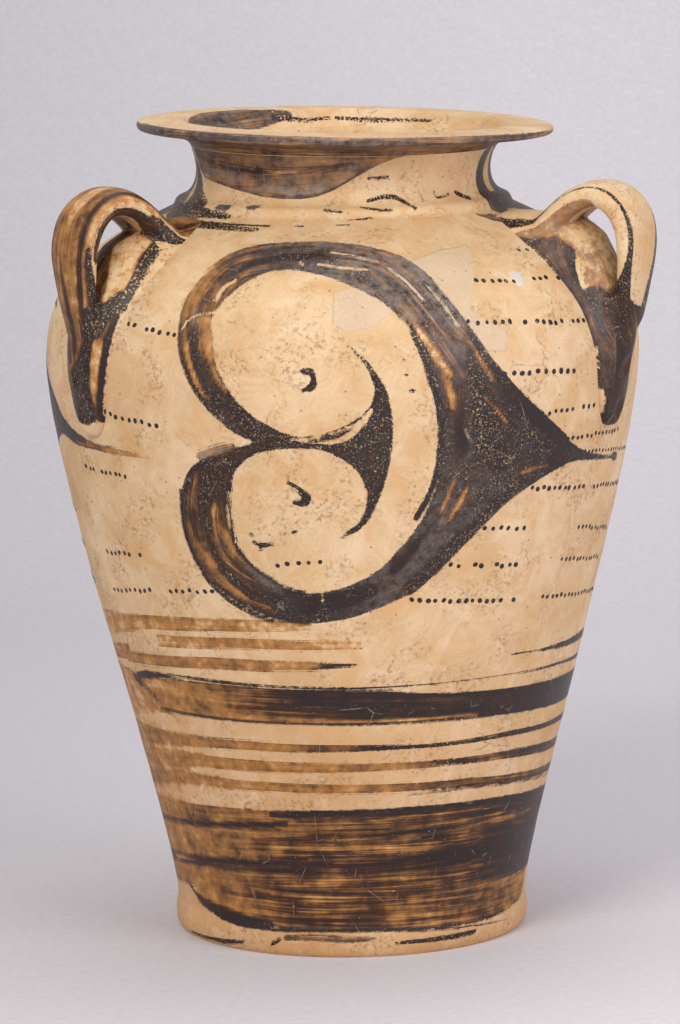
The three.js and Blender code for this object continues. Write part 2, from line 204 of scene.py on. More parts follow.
# Floor disc: the flat slab of clay that the jar was built up from, cut from the wheel with a
# string. Its top closes the jar inside, and its underside is the sole.
disc_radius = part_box("floor_disc")[1].x / MM
disc_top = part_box("floor_disc")[1].z / MM
disc_rings = 30
disc_columns = 120
disc_crown = 1.2
sole_hollow = 0.15
string_ridge = 0.35
disc_points = [(0, 0, sole_hollow), (0, 0, disc_top + disc_crown)]
for level in (0, 1):
    for ring in range(1, disc_rings + 1):
        share = ring / disc_rings
        for column in range(disc_columns):
            turn = 2 * math.pi * column / disc_columns
            radius = share * (disc_radius + 2 if level else disc_radius - 0.2)
            spiral = string_ridge * math.sin(9 * share * 2 * math.pi + turn)
            height = sole_hollow * (1 - share)
            if level:
                height = disc_top + disc_crown * (1 - share) + spiral * share
            disc_points.append((radius * math.sin(turn), -radius * math.cos(turn), height))
disc_faces = []
for level in (0, 1):
    first = 2 + level * disc_rings * disc_columns
    for column in range(disc_columns):
        beside = (column + 1) % disc_columns
        fan = (level, first + column, first + beside)
        disc_faces.append(fan if level else fan[::-1])
        for ring in range(disc_rings - 1):
            inner = first + ring * disc_columns
            outer = inner + disc_columns
            quad = (inner + column, outer + column, outer + beside, inner + beside)
            disc_faces.append(quad if level else quad[::-1])
last_low = 2 + (disc_rings - 1) * disc_columns
last_high = last_low + disc_rings * disc_columns
for column in range(disc_columns):
    beside = (column + 1) % disc_columns
    disc_faces.append((last_low + column, last_low + beside, last_high + beside, last_high + column))
floor_disc = new_mesh("floor_disc_clay", disc_points, disc_faces)

# Buff clay: calcareous clay fired to a warm cream and smoothed while wet, so it is satin rather
# than matt. Long burial left it mottled and smudged, with dark grit, hairline cracks and scuffs.
mottle_mm = 38
smudge_mm = 15
soil_mm = 1.9
soil_patch_mm = 21
grain_mm = 0.9
grit_mm = 2.6
hairline_mm = 31
clay_tones = ("cdaa7e", "d8b78d", "e0c29c")


def noise_at(tree, mm, size_mm, **inputs):
    return add(tree, "ShaderNodeTexNoise", {"Vector": mm, "Scale": 1 / size_mm, **inputs})


def cell_edges(tree, mm, size_mm):
    """Distance to the edges of a net of uneven cells."""
    inputs = {"Vector": mm, "Scale": 1 / size_mm}
    return add(tree, "ShaderNodeTexVoronoi", inputs, feature="DISTANCE_TO_EDGE")


def ground_nodes(material, tones, dirt):
    """Adds the nodes of a bare ground. Returns its place in mm, colour, roughness and height."""
    tree = material.node_tree
    where = add(tree, "ShaderNodeTexCoord").outputs["Object"]
    mm = add(tree, "ShaderNodeVectorMath", {0: where, "Scale": 1 / MM}, operation="SCALE")
    mottle = noise_at(tree, mm, mottle_mm, Detail=5.0)
    stops = list(zip((0.3, 0.5, 0.7), tones))
    colour = add(tree, "ShaderNodeValToRGB", {"Fac": mottle}, stops=stops)

    # Darker, warmer orange towards the bottom
    rise = add(tree, "ShaderNodeSeparateXYZ", {0: mm}).outputs["Z"]
    low = remap(tree, rise, (165.0, 20.0), (0, 0.5))
    cloudy = remap(tree, mottle, (0.3, 0.7), (1.3, 0.7))
    amount = maths(tree, "MULTIPLY", low, cloudy)
    colour = mixed(tree, amount, colour, linear("bd8048"))

    # Smudges with wiped edges, and soil that still sits in the pores in patches
    smudge = noise_at(tree, mm, smudge_mm, Detail=8.0, Roughness=0.66, Distortion=1.1)
    amount = remap(tree, smudge, (0.48, 0.64), (0, 0.6 * dirt))
    colour = mixed(tree, amount, colour, linear("cf9f69"))
    amount = remap(tree, smudge, (0.47, 0.36), (0, 0.22 * dirt))
    colour = mixed(tree, amount, colour, linear("f3dcbc"))
    soil = noise_at(tree, mm, soil_mm, Detail=5.0, Roughness=0.7)
    patch = noise_at(tree, mm, soil_patch_mm, Detail=3.0)
    in_patch = remap(tree, patch, (0.48, 0.62))
    in_pore = remap(tree, soil, (0.5, 0.66), (0, 0.85 * dirt))
    amount = maths(tree, "MULTIPLY", in_patch, in_pore)
    colour = mixed(tree, amount, colour, linear("8d6c4c"))

    # Grain of the fired surface, and grit that shows as dark specks
    grain = noise_at(tree, mm, grain_mm, Detail=4.0, Roughness=0.65)
    tone = remap(tree, grain, (0.25, 0.75), (0.9, 1.08))
    colour = add(tree, "ShaderNodeVectorMath", {0: colour, "Scale": tone}, operation="SCALE")
    grit = add(tree, "ShaderNodeTexVoronoi", {"Vector": mm, "Scale": 1 / grit_mm})
    pick = add(tree, "ShaderNodeSeparateColor", {"Color": grit.outputs["Color"]})
    few = maths(tree, "GREATER_THAN", pick, 1 - 0.09 * dirt)
    small = remap(tree, grit, (0.24, 0.1), (0.0, 0.7))
    amount = maths(tree, "MULTIPLY", few, small)
    colour = mixed(tree, amount, colour, linear("6f5038"))

    # Hairline cracks, wandering and broken
    wander = add(tree, "ShaderNodeVectorMath", {0: smudge.outputs["Color"], "Scale": 11.0}, operation="SCALE")
    wandered = add(tree, "ShaderNodeVectorMath", {0: mm, 1: wander}, operation="ADD")
    hairline = cell_edges(tree, wandered, hairline_mm)
    thin = remap(tree, hairline, (0.011, 0.004))
    broken = remap(tree, mottle, (0.6, 0.64), (0, 0.5 * dirt))
    crack = maths(tree, "MULTIPLY", thin, broken)
    colour = mixed(tree, crack, colour, linear("7f5d3f"))

    rough = remap(tree, mottle, (0.3, 0.7), (0.66, 0.52))
    height = maths(tree, "MULTIPLY", grain, 0.06)
    height = maths(tree, "MULTIPLY_ADD", smudge, 0.3, height)
    height = maths(tree, "MULTIPLY_ADD", crack, -0.1, height)
    return mm, colour, rough, height


def close_material(material, colour, roughness, height, bump=0.6):
    """Joins colour, roughness and a height in mm to the shader."""
    tree = material.node_tree
    metres = maths(tree, "MULTIPLY", height, MM)
    relief = add(tree, "ShaderNodeBump", {"Height": metres, "Distance": 1.0, "Strength": bump})
    shader = tree.nodes["Principled BSDF"]
    shader.inputs["Specular IOR Level"].default_value = 0.3
    tree.links.new(next(o for o in colour.outputs if o.enabled), shader.inputs["Base Color"])
    tree.links.new(next(o for o in roughness.outputs if o.enabled), shader.inputs["Roughness"])
    tree.links.new(relief.outputs["Normal"], shader.inputs["Normal"])


bare_clay = bpy.data.materials.new("fired buff clay, bare")
bare_clay.use_nodes = True
close_material(bare_clay, *ground_nodes(bare_clay, clay_tones, 1)[1:])
floor_disc.data.materials.append(bare_clay)
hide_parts("floor_disc")
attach(floor_disc, "root")

# Foot ring: a roll of clay luted round the floor disc and pressed out into a low rounded foot.
# Its underside rests on the table, and it carries the first section of the wall. The outline that
# the potter gave the whole jar starts here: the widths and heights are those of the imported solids.
foot_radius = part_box("foot_ring")[1].x / MM
waist_height = 13.5
waist_radius = foot_radius - 0.9
sole_radius = foot_radius - 2.2
belly_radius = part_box("belly_wall")[1].x / MM
belly_height = 250
lower_seam_height = 120
fold_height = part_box("shoulder")[1].z / MM
fold_radius = 74.3
neck_spring = (70, 318.6)
throat_top = (65.7, 339.5)
wall_step = 1.25
turn_columns = 600


def curve_points(start, start_pull, end_pull, end, step):
    """Points a step apart along a cubic curve of radius and height."""
    t = np.linspace(0, 1, 800)[:, None]
    a, b, c, d = (np.array(p, float) for p in (start, start_pull, end_pull, end))
    fine = (1 - t) ** 3 * a + 3 * (1 - t) ** 2 * t * b + 3 * (1 - t) * t**2 * c + t**3 * d
    gone = np.concatenate([[0], np.cumsum(np.hypot(*np.diff(fine, axis=0).T))])
    even = np.linspace(0, gone[-1], max(2, int(round(gone[-1] / step)) + 1))
    return np.stack([np.interp(even, gone, fine[:, 0]), np.interp(even, gone, fine[:, 1])], -1)


foot_side = curve_points(
    (sole_radius, 0), (foot_radius + 0.7, 2.2), (foot_radius + 0.3, 8.5), (waist_radius, waist_height), 0.7
)
lower_side = curve_points(
    (waist_radius, waist_height),
    (waist_radius + 0.8, waist_height + 30),
    (belly_radius, belly_height - 48),
    (belly_radius, belly_height),
    wall_step,
)
shoulder_side = curve_points(
    (belly_radius, belly_height),
    (belly_radius, belly_height + 41),
    (fold_radius + 22.5, fold_height - 11),
    (fold_radius, fold_height),
    wall_step,
)
fold_side = curve_points(
    (fold_radius, fold_height),
    (fold_radius - 2.7, fold_height + 1.3),
    (neck_spring[0] + 3.3, neck_spring[1] - 1.1),
    neck_spring,
    0.8,
)
neck_side = curve_points(
    neck_spring,
    (neck_spring[0] - 7.4, neck_spring[1] + 2.4),
    (throat_top[0] - 4.1, throat_top[1] - 8.5),
    throat_top,
    0.8,
)
outline = np.vstack([foot_side, lower_side[1:], shoulder_side[1:], fold_side[1:], neck_side[1:]])
outline_length = np.concatenate([[0], np.cumsum(np.hypot(*np.diff(outline, axis=0).T))])


def wall_radius(height):
    return np.interp(height, outline[:, 1], outline[:, 0])


def wall_length(height):
    """Length of the wall from the sole up to a height, measured along its outside."""
    return np.interp(height, outline[:, 1], outline_length)


def wall_normal(height):
    """Outward and upward parts of the wall's normal at a height."""
    rise = 0.8
    run = wall_radius(height + rise) - wall_radius(height - rise)
    size = np.hypot(2 * rise, run)
    return 2 * rise / size, -run / size


def on_wall(azimuth, height, lift=0.0):
    """Points on the wall, by degrees from the front towards the right, height and lift."""
    azimuth, height, lift = np.broadcast_arrays(
        np.asarray(azimuth, float), np.asarray(height, float), np.asarray(lift, float)
    )
    outward, upward = wall_normal(height)
    reach = wall_radius(height) + outward * lift
    turn = np.radians(azimuth)
    return np.stack([reach * np.sin(turn), -reach * np.cos(turn), height + upward * lift], -1)


lean_heights = [0, 60, 100, 150, 240, 290, 318, 336, 350]
lean_mm = [-0.3, 0, 0, -1.2, -1.4, -0.8, -0.2, 0.2, 1.4]
rim_dip = math.tan(math.radians(1.4))
rim_dip_from = 318
rim_dip_full = 347


def settled(points):
    """Moves points from the true turned shape to the hand-made one."""
    points = np.array(points, float)
    x, y, z = points.T.copy()
    turn = np.arctan2(x, -y)
    reach = np.hypot(x, y)
    swell = 0.28 * np.sin(2 * turn + 0.6 + z / 170) + 0.2 * np.sin(3 * turn - 1.1 + z / 60)
    swell += 0.1 * np.sin(5 * turn + z / 23) + 0.05 * np.sin(z / 2.9 + 1.3 * np.sin(turn))
    swell *= np.clip(reach / 60, 0, 1) * np.clip(z / 12, 0, 1)
    lean = np.interp(z, lean_heights, lean_mm)
    across = x * picture_right.x + y * picture_right.y
    dip = rim_dip * across * np.clip((z - rim_dip_from) / (rim_dip_full - rim_dip_from), 0, 1) ** 2
    points[:, 0] = x + swell * np.sin(turn) + lean * picture_right.x
    points[:, 1] = y - swell * np.cos(turn) + lean * picture_right.y
    points[:, 2] = z - dip
    return points


def turned_shell(name, outside, inside, tuck=0.05):
    """Closed turned wall from rows of radius and height, both from bottom to top. A row just
    inside each end of the outside keeps the wall's shading straight up to its seams."""
    low, high = outside[0], outside[-1]
    near_low = low + (outside[1] - low) * tuck
    near_high = high + (outside[-2] - high) * tuck
    rows = np.vstack([low, near_low, outside[1:-1], near_high, high, inside[::-1]])
    turn = np.linspace(0, 2 * math.pi, turn_columns, endpoint=False)
    x = rows[:, 0, None] * np.sin(turn)
    y = -rows[:, 0, None] * np.cos(turn)
    z = np.repeat(rows[:, 1, None], turn_columns, 1)
    points = np.stack([x, y, z], -1).reshape(-1, 3)
    row, column = np.meshgrid(np.arange(len(rows)), np.arange(turn_columns), indexing="ij")
    next_row = (row + 1) % len(rows)
    next_column = (column + 1) % turn_columns
    corners = [(row, column), (row, next_column), (next_row, next_column), (next_row, column)]
    faces = np.stack([(r * turn_columns + c).ravel() for r, c in corners], -1)
    piece = new_mesh(name, settled(points), faces)
    painted_rows = len(outside) + 2
    return piece, points, painted_rows * turn_columns


def inner_wall(rows, thickness_low, thickness_high, count):
    """Rows inside a wall, a thickness away from its outside, with soft throwing ridges."""
    share = np.linspace(0, 1, count)
    index = share * (len(rows) - 1)
    r = np.interp(index, range(len(rows)), rows[:, 0])
    z = np.interp(index, range(len(rows)), rows[:, 1])
    run = np.gradient(r)
    rise = np.gradient(z)
    size = np.hypot(run, rise)
    wall = thickness_low + (thickness_high - thickness_low) * share
    wall = wall + 0.35 * np.sin(z / 1.6)
    return np.stack([r - wall * rise / size, z + wall * run / size], -1)


# Slip paint: iron-rich slip laid on with a broad soft brush while the jar turned. Where it is thin
# it fired orange-brown, and where it is thick it fired black, crazed, and flaked off in places.
# Each band below is a list of stations of (degrees from the front, height, half width, load,
# wear), in mm: load runs from 0, a thin wash, to 1, black, and wear is the share that is lost.
bands = {
    "haze, left": [(-170, 84, 6, -0.2, 0.6), (-140, 84, 18, 0.04, 0.4), (-95, 84, 28, 0.16, 0.15),
        (-72, 84, 27, 0.1, 0.2), (-58, 84, 22, 0.03, 0.3), (-46, 84, 12, -0.05, 0.5)],
    "third wash, left": [(-112, 137, 2, 0.05, 0.3), (-84, 136.5, 6, 0.12, 0.3),
        (-55, 144, 3.2, 0.26, 0.1), (-36, 147, 3.2, 0.28, 0.1), (-20, 148.3, 2.8, 0.22, 0.2),
        (-11, 148.6, 2, 0.05, 0.5)],
    "second wash": [(-53, 136.4, 2.8, 0.2, 0.1), (-30, 139.4, 2.8, 0.28, 0.1), (-8, 140, 2.3, 0.18, 0.3),
        (0, 140.1, 1.5, 0.05, 0.6)],
    "second wash, left": [(-130, 120, 1, -0.05, 0.6), (-84, 124, 3.4, 0.3, 0.2),
        (-68, 127.4, 3.7, 0.3, 0.3)],
    "first wash": [(-72, 124.8, 3, 0.26, 0.2), (-62, 126, 3.1, 0.3, 0.1), (-36, 129.8, 3, 0.32, 0.1),
        (-12, 131, 2.4, 0.36, 0.2), (-5, 131.3, 1.4, 0.75, 0.3), (-1, 131.4, 0.8, 0.5, 0.5)],
    "dark stroke, right": [(38, 130.3, 0.5, 0.6, 0.4), (48, 129.4, 0.8, 0.85, 0.3),
        (57, 128.9, 1.5, 0.9, 0.2), (76, 128.5, 2.4, 0.95, 0.1), (120, 127, 2.6, 0.9, 0.1),
        (190, 125, 1.4, 0.5, 0.3), (228, 124, 0.6, 0.2, 0.6)],
    "broad band": [(-84, 107, 12, 0.2, 0.2), (-66, 110, 9, 0.24, 0.2), (-56, 111.6, 7.6, 0.28, 0.05),
        (-48, 112.2, 8.4, 0.32, 0), (-30, 112.4, 8.6, 0.44, 0), (-21, 112.5, 8.4, 0.68, 0),
        (-12, 112.4, 8.1, 0.84, 0), (5, 112, 7.9, 0.88, 0.06), (16, 110.9, 6.8, 0.9, 0.08),
        (30, 110, 6.5, 0.92, 0.08), (44, 109, 6.4, 0.94, 0.08), (59, 108, 6.6, 1, 0.03),
        (76, 106.9, 6.7, 1, 0.03), (130, 106, 7, 0.95, 0.03), (200, 105.6, 7.4, 0.75, 0.05),
        (240, 106, 8.6, 0.45, 0.05)],
    "hooked line": [(-68, 117.6, 1.5, 0.85, 0.1), (-62, 119.6, 1.8, 0.85, 0.1),
        (-50, 121.2, 1.1, 0.7, 0.1), (-39, 121.8, 0.8, 0.65, 0.1), (-21, 121.1, 0.8, 0.85, 0),
        (-4, 120.9, 0.9, 0.95, 0), (9, 121.2, 0.7, 0.9, 0.2), (30, 121.4, 0.6, 0.85, 0.4),
        (44, 121.0, 0.7, 0.9, 0.3), (59, 120.4, 0.8, 0.9, 0.2), (76, 118.9, 1.4, 0.95, 0.1),
        (110, 117, 1.2, 0.9, 0.2), (150, 116.6, 0.6, 0.7, 0.4)],
    "hook": [(-70.5, 116.2, 1.6, 0.8, 0.1), (-67, 114.6, 1.7, 0.85, 0.1), (-64, 112.2, 1.2, 0.7, 0.2),
        (-60, 108.6, 1.0, 0.55, 0.3), (-57, 105.4, 0.8, 0.4, 0.4)],
    "upper line": [(-84, 88, 5.5, 0.3, 0.3), (-64, 90.9, 3.6, 0.32, 0.2), (-48, 92.8, 2.8, 0.34, 0.1),
        (-30, 94.2, 2.4, 0.3, 0.1), (-4, 94.2, 1.8, 0.4, 0.2), (8, 94.0, 1.2, 0.8, 0.3),
        (18, 93.9, 1.0, 0.7, 0.5), (41, 94.5, 1.4, 0.72, 0.3), (59, 93.3, 1.6, 0.8, 0.2),
        (76, 92.3, 2.0, 0.85, 0.2), (150, 91, 2.4, 0.7, 0.2), (220, 89, 4, 0.4, 0.2)],
    "middle line": [(-84, 78, 5, 0.28, 0.3), (-48, 84.3, 3.2, 0.28, 0.2), (-12, 85.2, 2.4, 0.26, 0.2),
        (10, 85.6, 1.6, 0.3, 0.3), (23, 85.6, 1.5, 0.5, 0.4), (41, 85.0, 2.2, 0.58, 0.2),
        (64, 82.4, 2.6, 0.6, 0.2), (76, 81, 2.2, 0.6, 0.3), (150, 79, 2.6, 0.5, 0.3)],
    "lower line": [(-84, 68.7, 4, 0.34, 0.3), (-57, 74.8, 3.2, 0.28, 0.2), (-25, 76.1, 2.2, 0.28, 0.2),
        (5, 75.8, 2.0, 0.32, 0.2), (32, 74.9, 2.2, 0.5, 0.2), (50, 72.8, 2.2, 0.55, 0.2),
        (76, 70.3, 2.0, 0.75, 0.2), (150, 69.5, 2.4, 0.6, 0.3)],
    "lower line's edge": [(12, 72.4, 0.5, 0.7, 0.5), (30, 72.6, 0.6, 0.85, 0.3),
        (50, 70.4, 0.5, 0.85, 0.4), (70, 67.6, 0.6, 0.9, 0.3), (90, 66.8, 0.5, 0.8, 0.5)],
    "brushed zone": [(-84, 41, 20, 0.3, 0.1), (-48, 44.6, 20, 0.36, 0.08), (-34, 46, 19.6, 0.46, 0.1),
        (-22, 47, 19.3, 0.56, 0.1), (-4, 47.6, 19.4, 0.62, 0.12), (14, 47.6, 19.6, 0.6, 0.14),
        (30, 47, 20, 0.66, 0.14), (46, 46.5, 20, 0.74, 0.14), (59, 45, 19.5, 0.82, 0.1),
        (76, 43.5, 18.6, 0.92, 0.06), (140, 43, 18.6, 0.8, 0.12), (220, 42, 19, 0.5, 0.15)],
    "zone's top edge": [(-27, 63.2, 1.2, 0.8, 0.2), (-14, 64.2, 2.0, 0.85, 0.1),
        (-4, 64.8, 2.0, 0.9, 0.1), (14, 65.2, 1.9, 0.9, 0.15), (41, 64.4, 1.8, 0.92, 0.1),
        (59, 62.2, 2.2, 0.96, 0.05), (76, 59.4, 3.4, 1, 0), (140, 59, 3.2, 0.95, 0.05),
        (200, 58, 2, 0.8, 0.2), (240, 57, 1, 0.6, 0.4)],
    "left streak": [(-110, 47, 0.8, 0.5, 0.4), (-84, 50.1, 1.0, 0.72, 0.2), (-55, 54.2, 1.2, 0.78, 0.2),
        (-38, 57, 1.2, 0.8, 0.2), (-22, 59.4, 1.1, 0.8, 0.3)],
    "middle streaks": [(-8, 53.5, 2.2, 0.75, 0.2), (14, 54.6, 2.0, 0.72, 0.2), (41, 55.4, 1.4, 0.7, 0.3),
        (62, 54.6, 1.2, 0.7, 0.4), (78, 53, 1.6, 0.75, 0.3), (110, 52, 1.2, 0.6, 0.5)],
    "very dark band": [(-84, 32.8, 2.2, 0.66, 0.2), (-60, 36.5, 2.2, 0.74, 0.1),
        (-48, 37.7, 2.4, 0.8, 0.1), (-23, 39.8, 3.0, 0.82, 0.1), (2, 40.3, 3.2, 0.84, 0.1),
        (14, 41.2, 3.4, 0.86, 0.1), (23, 41.9, 4.3, 0.88, 0.06), (41, 43.3, 5.0, 0.88, 0.06),
        (59, 43.0, 5.0, 0.94, 0.04), (76, 42.3, 5.6, 1, 0), (140, 41, 5, 0.97, 0),
        (200, 38, 3.6, 0.85, 0.05), (240, 34, 2.6, 0.7, 0.1)],
    "lower streaks": [(-64, 19.5, 4, 0.2, 0.3), (-50, 20.6, 7, 0.36, 0.2), (-36, 21, 9, 0.5, 0.16),
        (-22, 20.6, 9.6, 0.6, 0.15), (2, 20.6, 9.6, 0.58, 0.16), (27, 19.8, 9.8, 0.55, 0.2),
        (45, 19, 9, 0.5, 0.26), (58, 19, 8, 0.42, 0.3), (74, 19, 6, 0.3, 0.4)],
    "border": [(-52, 12.6, 0.7, 0.8, 0.2), (-30, 10.9, 0.9, 0.92, 0.1), (-12, 11.8, 0.9, 0.88, 0.2),
        (5, 11.9, 0.9, 0.92, 0.2), (27, 10.0, 0.8, 0.88, 0.3), (44, 8.4, 0.6, 0.75, 0.5),
        (58, 7.2, 0.4, 0.6, 0.6)],
    "orange under the band": [(-60, 105.6, 0.9, 0.25, 0.2), (-20, 106.4, 0.9, 0.25, 0.3),
        (10, 106, 0.8, 0.15, 0.4), (30, 105.2, 0.6, 0.1, 0.5)],
    "band's foot line": [(-60, 104.2, 0.6, 0.7, 0.2), (-20, 105, 0.6, 0.85, 0.2),
        (10, 104.6, 0.6, 0.9, 0.2), (35, 103.9, 0.5, 0.8, 0.4)],
    "neck foot, back": [(62, 318, 6, 0.92, 0.3), (80, 316, 6.5, 0.9, 0.25), (150, 315.6, 6, 0.9, 0.35),
        (220, 315.6, 6, 0.9, 0.4), (260, 315.4, 6, 0.95, 0.25), (278, 316, 6, 0.9, 0.25)],
}
around = ("broad band", "upper line", "middle line", "lower line", "brushed zone", "very dark band")
# Steps along a line of sight, from in front of the jar to behind its axis
sight_mm = camera_distance / MM + np.arange(-170, 60, 0.1)


def seen_at(pixels):
    """Degrees from the front and height of the wall at pixels of the photo, and mm to a pixel."""
    x, y = np.array(pixels, float).T[:, :, None]
    rightwards = x - frame_width_px / 2 - axis_right_px
    downwards = y - frame_height_px / 2 + axis_up_px
    sight = np.array(looking) * focal_length_px
    sight = sight + np.array(camera_x) * rightwards - np.array(camera_y) * downwards
    sight /= np.linalg.norm(sight, axis=1, keepdims=True)
    points = np.array(camera_place) / MM + sight_mm[:, None] * sight[:, None]
    lean = np.interp(points[..., 2], lean_heights, lean_mm)
    points -= lean[..., None] * np.array(picture_right)
    first = (np.hypot(points[..., 0], points[..., 1]) < wall_radius(points[..., 2])).argmax(1)
    met = points[np.arange(len(first)), first]
    return np.degrees(np.arctan2(met[:, 0], -met[:, 1])), met[:, 2], sight_mm[first] / focal_length_px


def from_photo(strokes):
    """Strokes given by pixels of the photo, as degrees, height and mm."""
    found = {}
    for name, stations in strokes.items():
        stations = np.array(stations, float)
        azimuth, height, mm_per_px = seen_at(stations[:, :2])
        found[name] = np.column_stack([azimuth, height, stations[:, 2] * mm_per_px, stations[:, 3:]])
    return found


# Smaller strokes and flecks as (x, y, half width, load, wear, grey film of restorer's paint), with
# the place and the half width in pixels of the photo
foot_strokes = from_photo({
    "foot slant": [(190, 885, 1.5, 0.6, 0.3, 0), (200, 898, 2.4, 0.85, 0.25, 0),
        (212, 908, 4, 0.95, 0.15, 0), (228, 915, 5, 0.97, 0.12, 0), (246, 922, 4.5, 0.95, 0.15, 0),
        (270, 926, 3, 0.95, 0.2, 0)],
    "foot flecks": [(192, 932, 1.5, 0.9, 0.5, 0), (205, 937, 1.8, 0.95, 0.45, 0),
        (225, 941, 2.2, 0.95, 0.4, 0), (243, 942, 1.6, 0.9, 0.4, 0)],
    "foot flecks 2": [(272, 944, 1.8, 0.9, 0.5, 0), (280, 940, 1.8, 0.9, 0.4, 0)],
    "foot brown film": [(285, 938, 2.2, 0.5, 0.4, 0.3), (320, 938, 2.6, 0.5, 0.4, 0.3),
        (350, 940, 2.4, 0.45, 0.4, 0.3), (375, 938, 1.6, 0.4, 0.5, 0.3)],
    "foot flecks 3": [(395, 943, 1.2, 0.9, 0.5, 0), (420, 941, 2, 0.95, 0.4, 0),
        (450, 937, 2.4, 0.95, 0.35, 0), (475, 931, 1.8, 0.9, 0.45, 0)],
})


def smooth_step(value, low, high):
    share = np.clip((value - low) / (high - low), 0, 1)
    return share * share * (3 - 2 * share)


def flat_mm(azimuth, height, radius=118):
    """Rolls the wall out: millimetres round it at a middle radius, and up it."""
    return np.stack([np.radians(azimuth) * radius, wall_length(height)], -1)


def band_layer(name, azimuth, height, number):
    """Depth inside a band's edge, its load and wear, and how far across it a point lies."""
    stations = np.array(bands[name], float)
    if name in around:
        columns = [np.interp(azimuth, stations[:, 0], c, period=360) for c in stations.T[1:]]
        past_end = np.full(len(azimuth), 99.0)
    else:
        middle = (stations[0, 0] + stations[-1, 0]) / 2
        angle = (azimuth - middle + 180) % 360 + middle - 180
        columns = [np.interp(angle, stations[:, 0], c) for c in stations.T[1:]]
        past_end = np.minimum(angle - stations[0, 0], stations[-1, 0] - angle)
        past_end = past_end * np.radians(wall_radius(height))
    centre, half, load, wear = columns
    across = wall_length(height) - wall_length(centre)
    return np.minimum(half - np.abs(across), past_end), load, wear, across + 23.0 * number


def smooth_line(points, closed=False, steps=6):
    """Smooth line through points of any number of values."""
    points = np.array(points, float)
    if closed:
        padded = np.vstack([points[-1], points, points[0], points[1]])
    else:
        padded = np.vstack([2 * points[0] - points[1], points, 2 * points[-1] - points[-2]])
    t = (np.arange(steps) / steps)[:, None]
    parts = []
    for before, start, end, after in zip(padded, padded[1:], padded[2:], padded[3:]):
        bend = 2 * before - 5 * start + 4 * end - after
        twist = 3 * start - before - 3 * end + after
        parts.append(start + 0.5 * t * (end - before) + 0.5 * t**2 * bend + 0.5 * t**3 * twist)
    return np.vstack(parts if closed else parts + [points[-1]])


def along_stroke(places, line, values):
    """How deep places lie in a stroke, its other values there, and mm along and across it. The
    first value at each point of the line is the stroke's half width."""
    nearest = np.full(len(places), np.inf)
    picked = np.zeros((len(places), values.shape[1]))
    found = np.zeros((len(places), 2))
    gone = 0
    for start, end, low, high in zip(line, line[1:], values, values[1:]):
        edge = end - start
        length = math.hypot(*edge) + 1e-6
        away = places - start
        share = np.clip(away @ edge / length**2, 0, 1)
        gap = np.hypot(*(away - share[:, None] * edge).T)
        nearer = gap < nearest
        nearest[nearer] = gap[nearer]
        picked[nearer] = low + (high - low) * share[nearer, None]
        side = (away[:, 0] * edge[1] - away[:, 1] * edge[0]) / length
        found[nearer] = np.stack([gone + share * length, side], -1)[nearer]
        gone += length
    return picked[:, 0] - nearest, picked[:, 1:], found


# Load, wear and grey film of a mark that gives none
plain_mark = [0.98, 0.3, 0]


def no_paint(points):
    count = len(points)
    paint = {key: np.zeros(count) for key in ("load", "wear", "grey")}
    paint["depth"] = np.full(count, -9.0)
    paint["flow"] = np.zeros((count, 3))
    return paint


def lay(paint, rows, depth, values, flow):
    """Lays a stroke over the paint on some rows of points, on top of what is there."""
    under = paint["depth"][rows]
    cover = np.where(under < -1.5, depth > under, smooth_step(depth, -0.9, 0.7))
    for key, value in zip(("load", "wear", "grey"), values):
        paint[key][rows] += cover * (value - paint[key][rows])
    on_top = cover > 0.5
    paint["flow"][rows[on_top]] = flow[on_top]
    paint["depth"][rows] = np.maximum(under, depth)


def lay_strokes(paint, places, strokes, bare=False, steps=4, film=True):
    """Lays strokes over the paint at places of two coordinates in mm, or rubs them out of it."""
    for number, stations in enumerate(strokes.values()):
        stations = np.array(stations, float)
        missing = stations.shape[1] - 6
        if missing:
            stations = np.hstack([stations, np.tile(plain_mark[missing:], (len(stations), 1))])
        line = smooth_line(stations, steps=steps) if len(stations) > 2 else stations
        reach = line[:, 2].max() + 3
        low, high = line[:, :2].min(0) - reach, line[:, :2].max(0) + reach
        rows = np.flatnonzero(((places > low) & (places < high)).all(1))
        if not len(rows):
            continue
        depth, values, found = along_stroke(places[rows], line[:, :2], line[:, 2:])
        if bare:
            paint["depth"][rows] = np.minimum(paint["depth"][rows], -depth)
            continue
        flow = np.stack([found[:, 0], np.full(len(rows), 40.0 * number), found[:, 1]], -1)
        values = np.clip(values.T, 0, 1)
        lay(paint, rows, depth, (values[0], values[1], values[2] * film), flow)


def rolled_out(strokes, radius=118, widen=1.0):
    """Strokes given by degrees and height, as places on the rolled-out wall."""
    rolled = {}
    for name, stations in strokes.items():
        stations = np.array(stations, float)
        stations[:, :2] = flat_mm(stations[:, 0], stations[:, 1], radius)
        stations[:, 2] *= widen
        rolled[name] = stations
    return rolled


def banded(points):
    """Paint of the bands on the lower half of the body, at points of the true turned shape."""
    paint = no_paint(points)
    azimuth = np.degrees(np.arctan2(points[:, 0], -points[:, 1]))
    height = points[:, 2]
    for number, name in enumerate(bands):
        depth, load, wear, across = band_layer(name, azimuth, height, number)
        rows = np.flatnonzero(depth > -7)
        if len(rows):
            flow = np.stack([points[:, 0], points[:, 1], across], -1)[rows]
            lay(paint, rows, depth[rows], (load[rows], wear[rows], 0), flow)
    flat = flat_mm(azimuth, height)
    lay_strokes(paint, flat, rolled_out(foot_strokes, widen=1.4))
    return paint


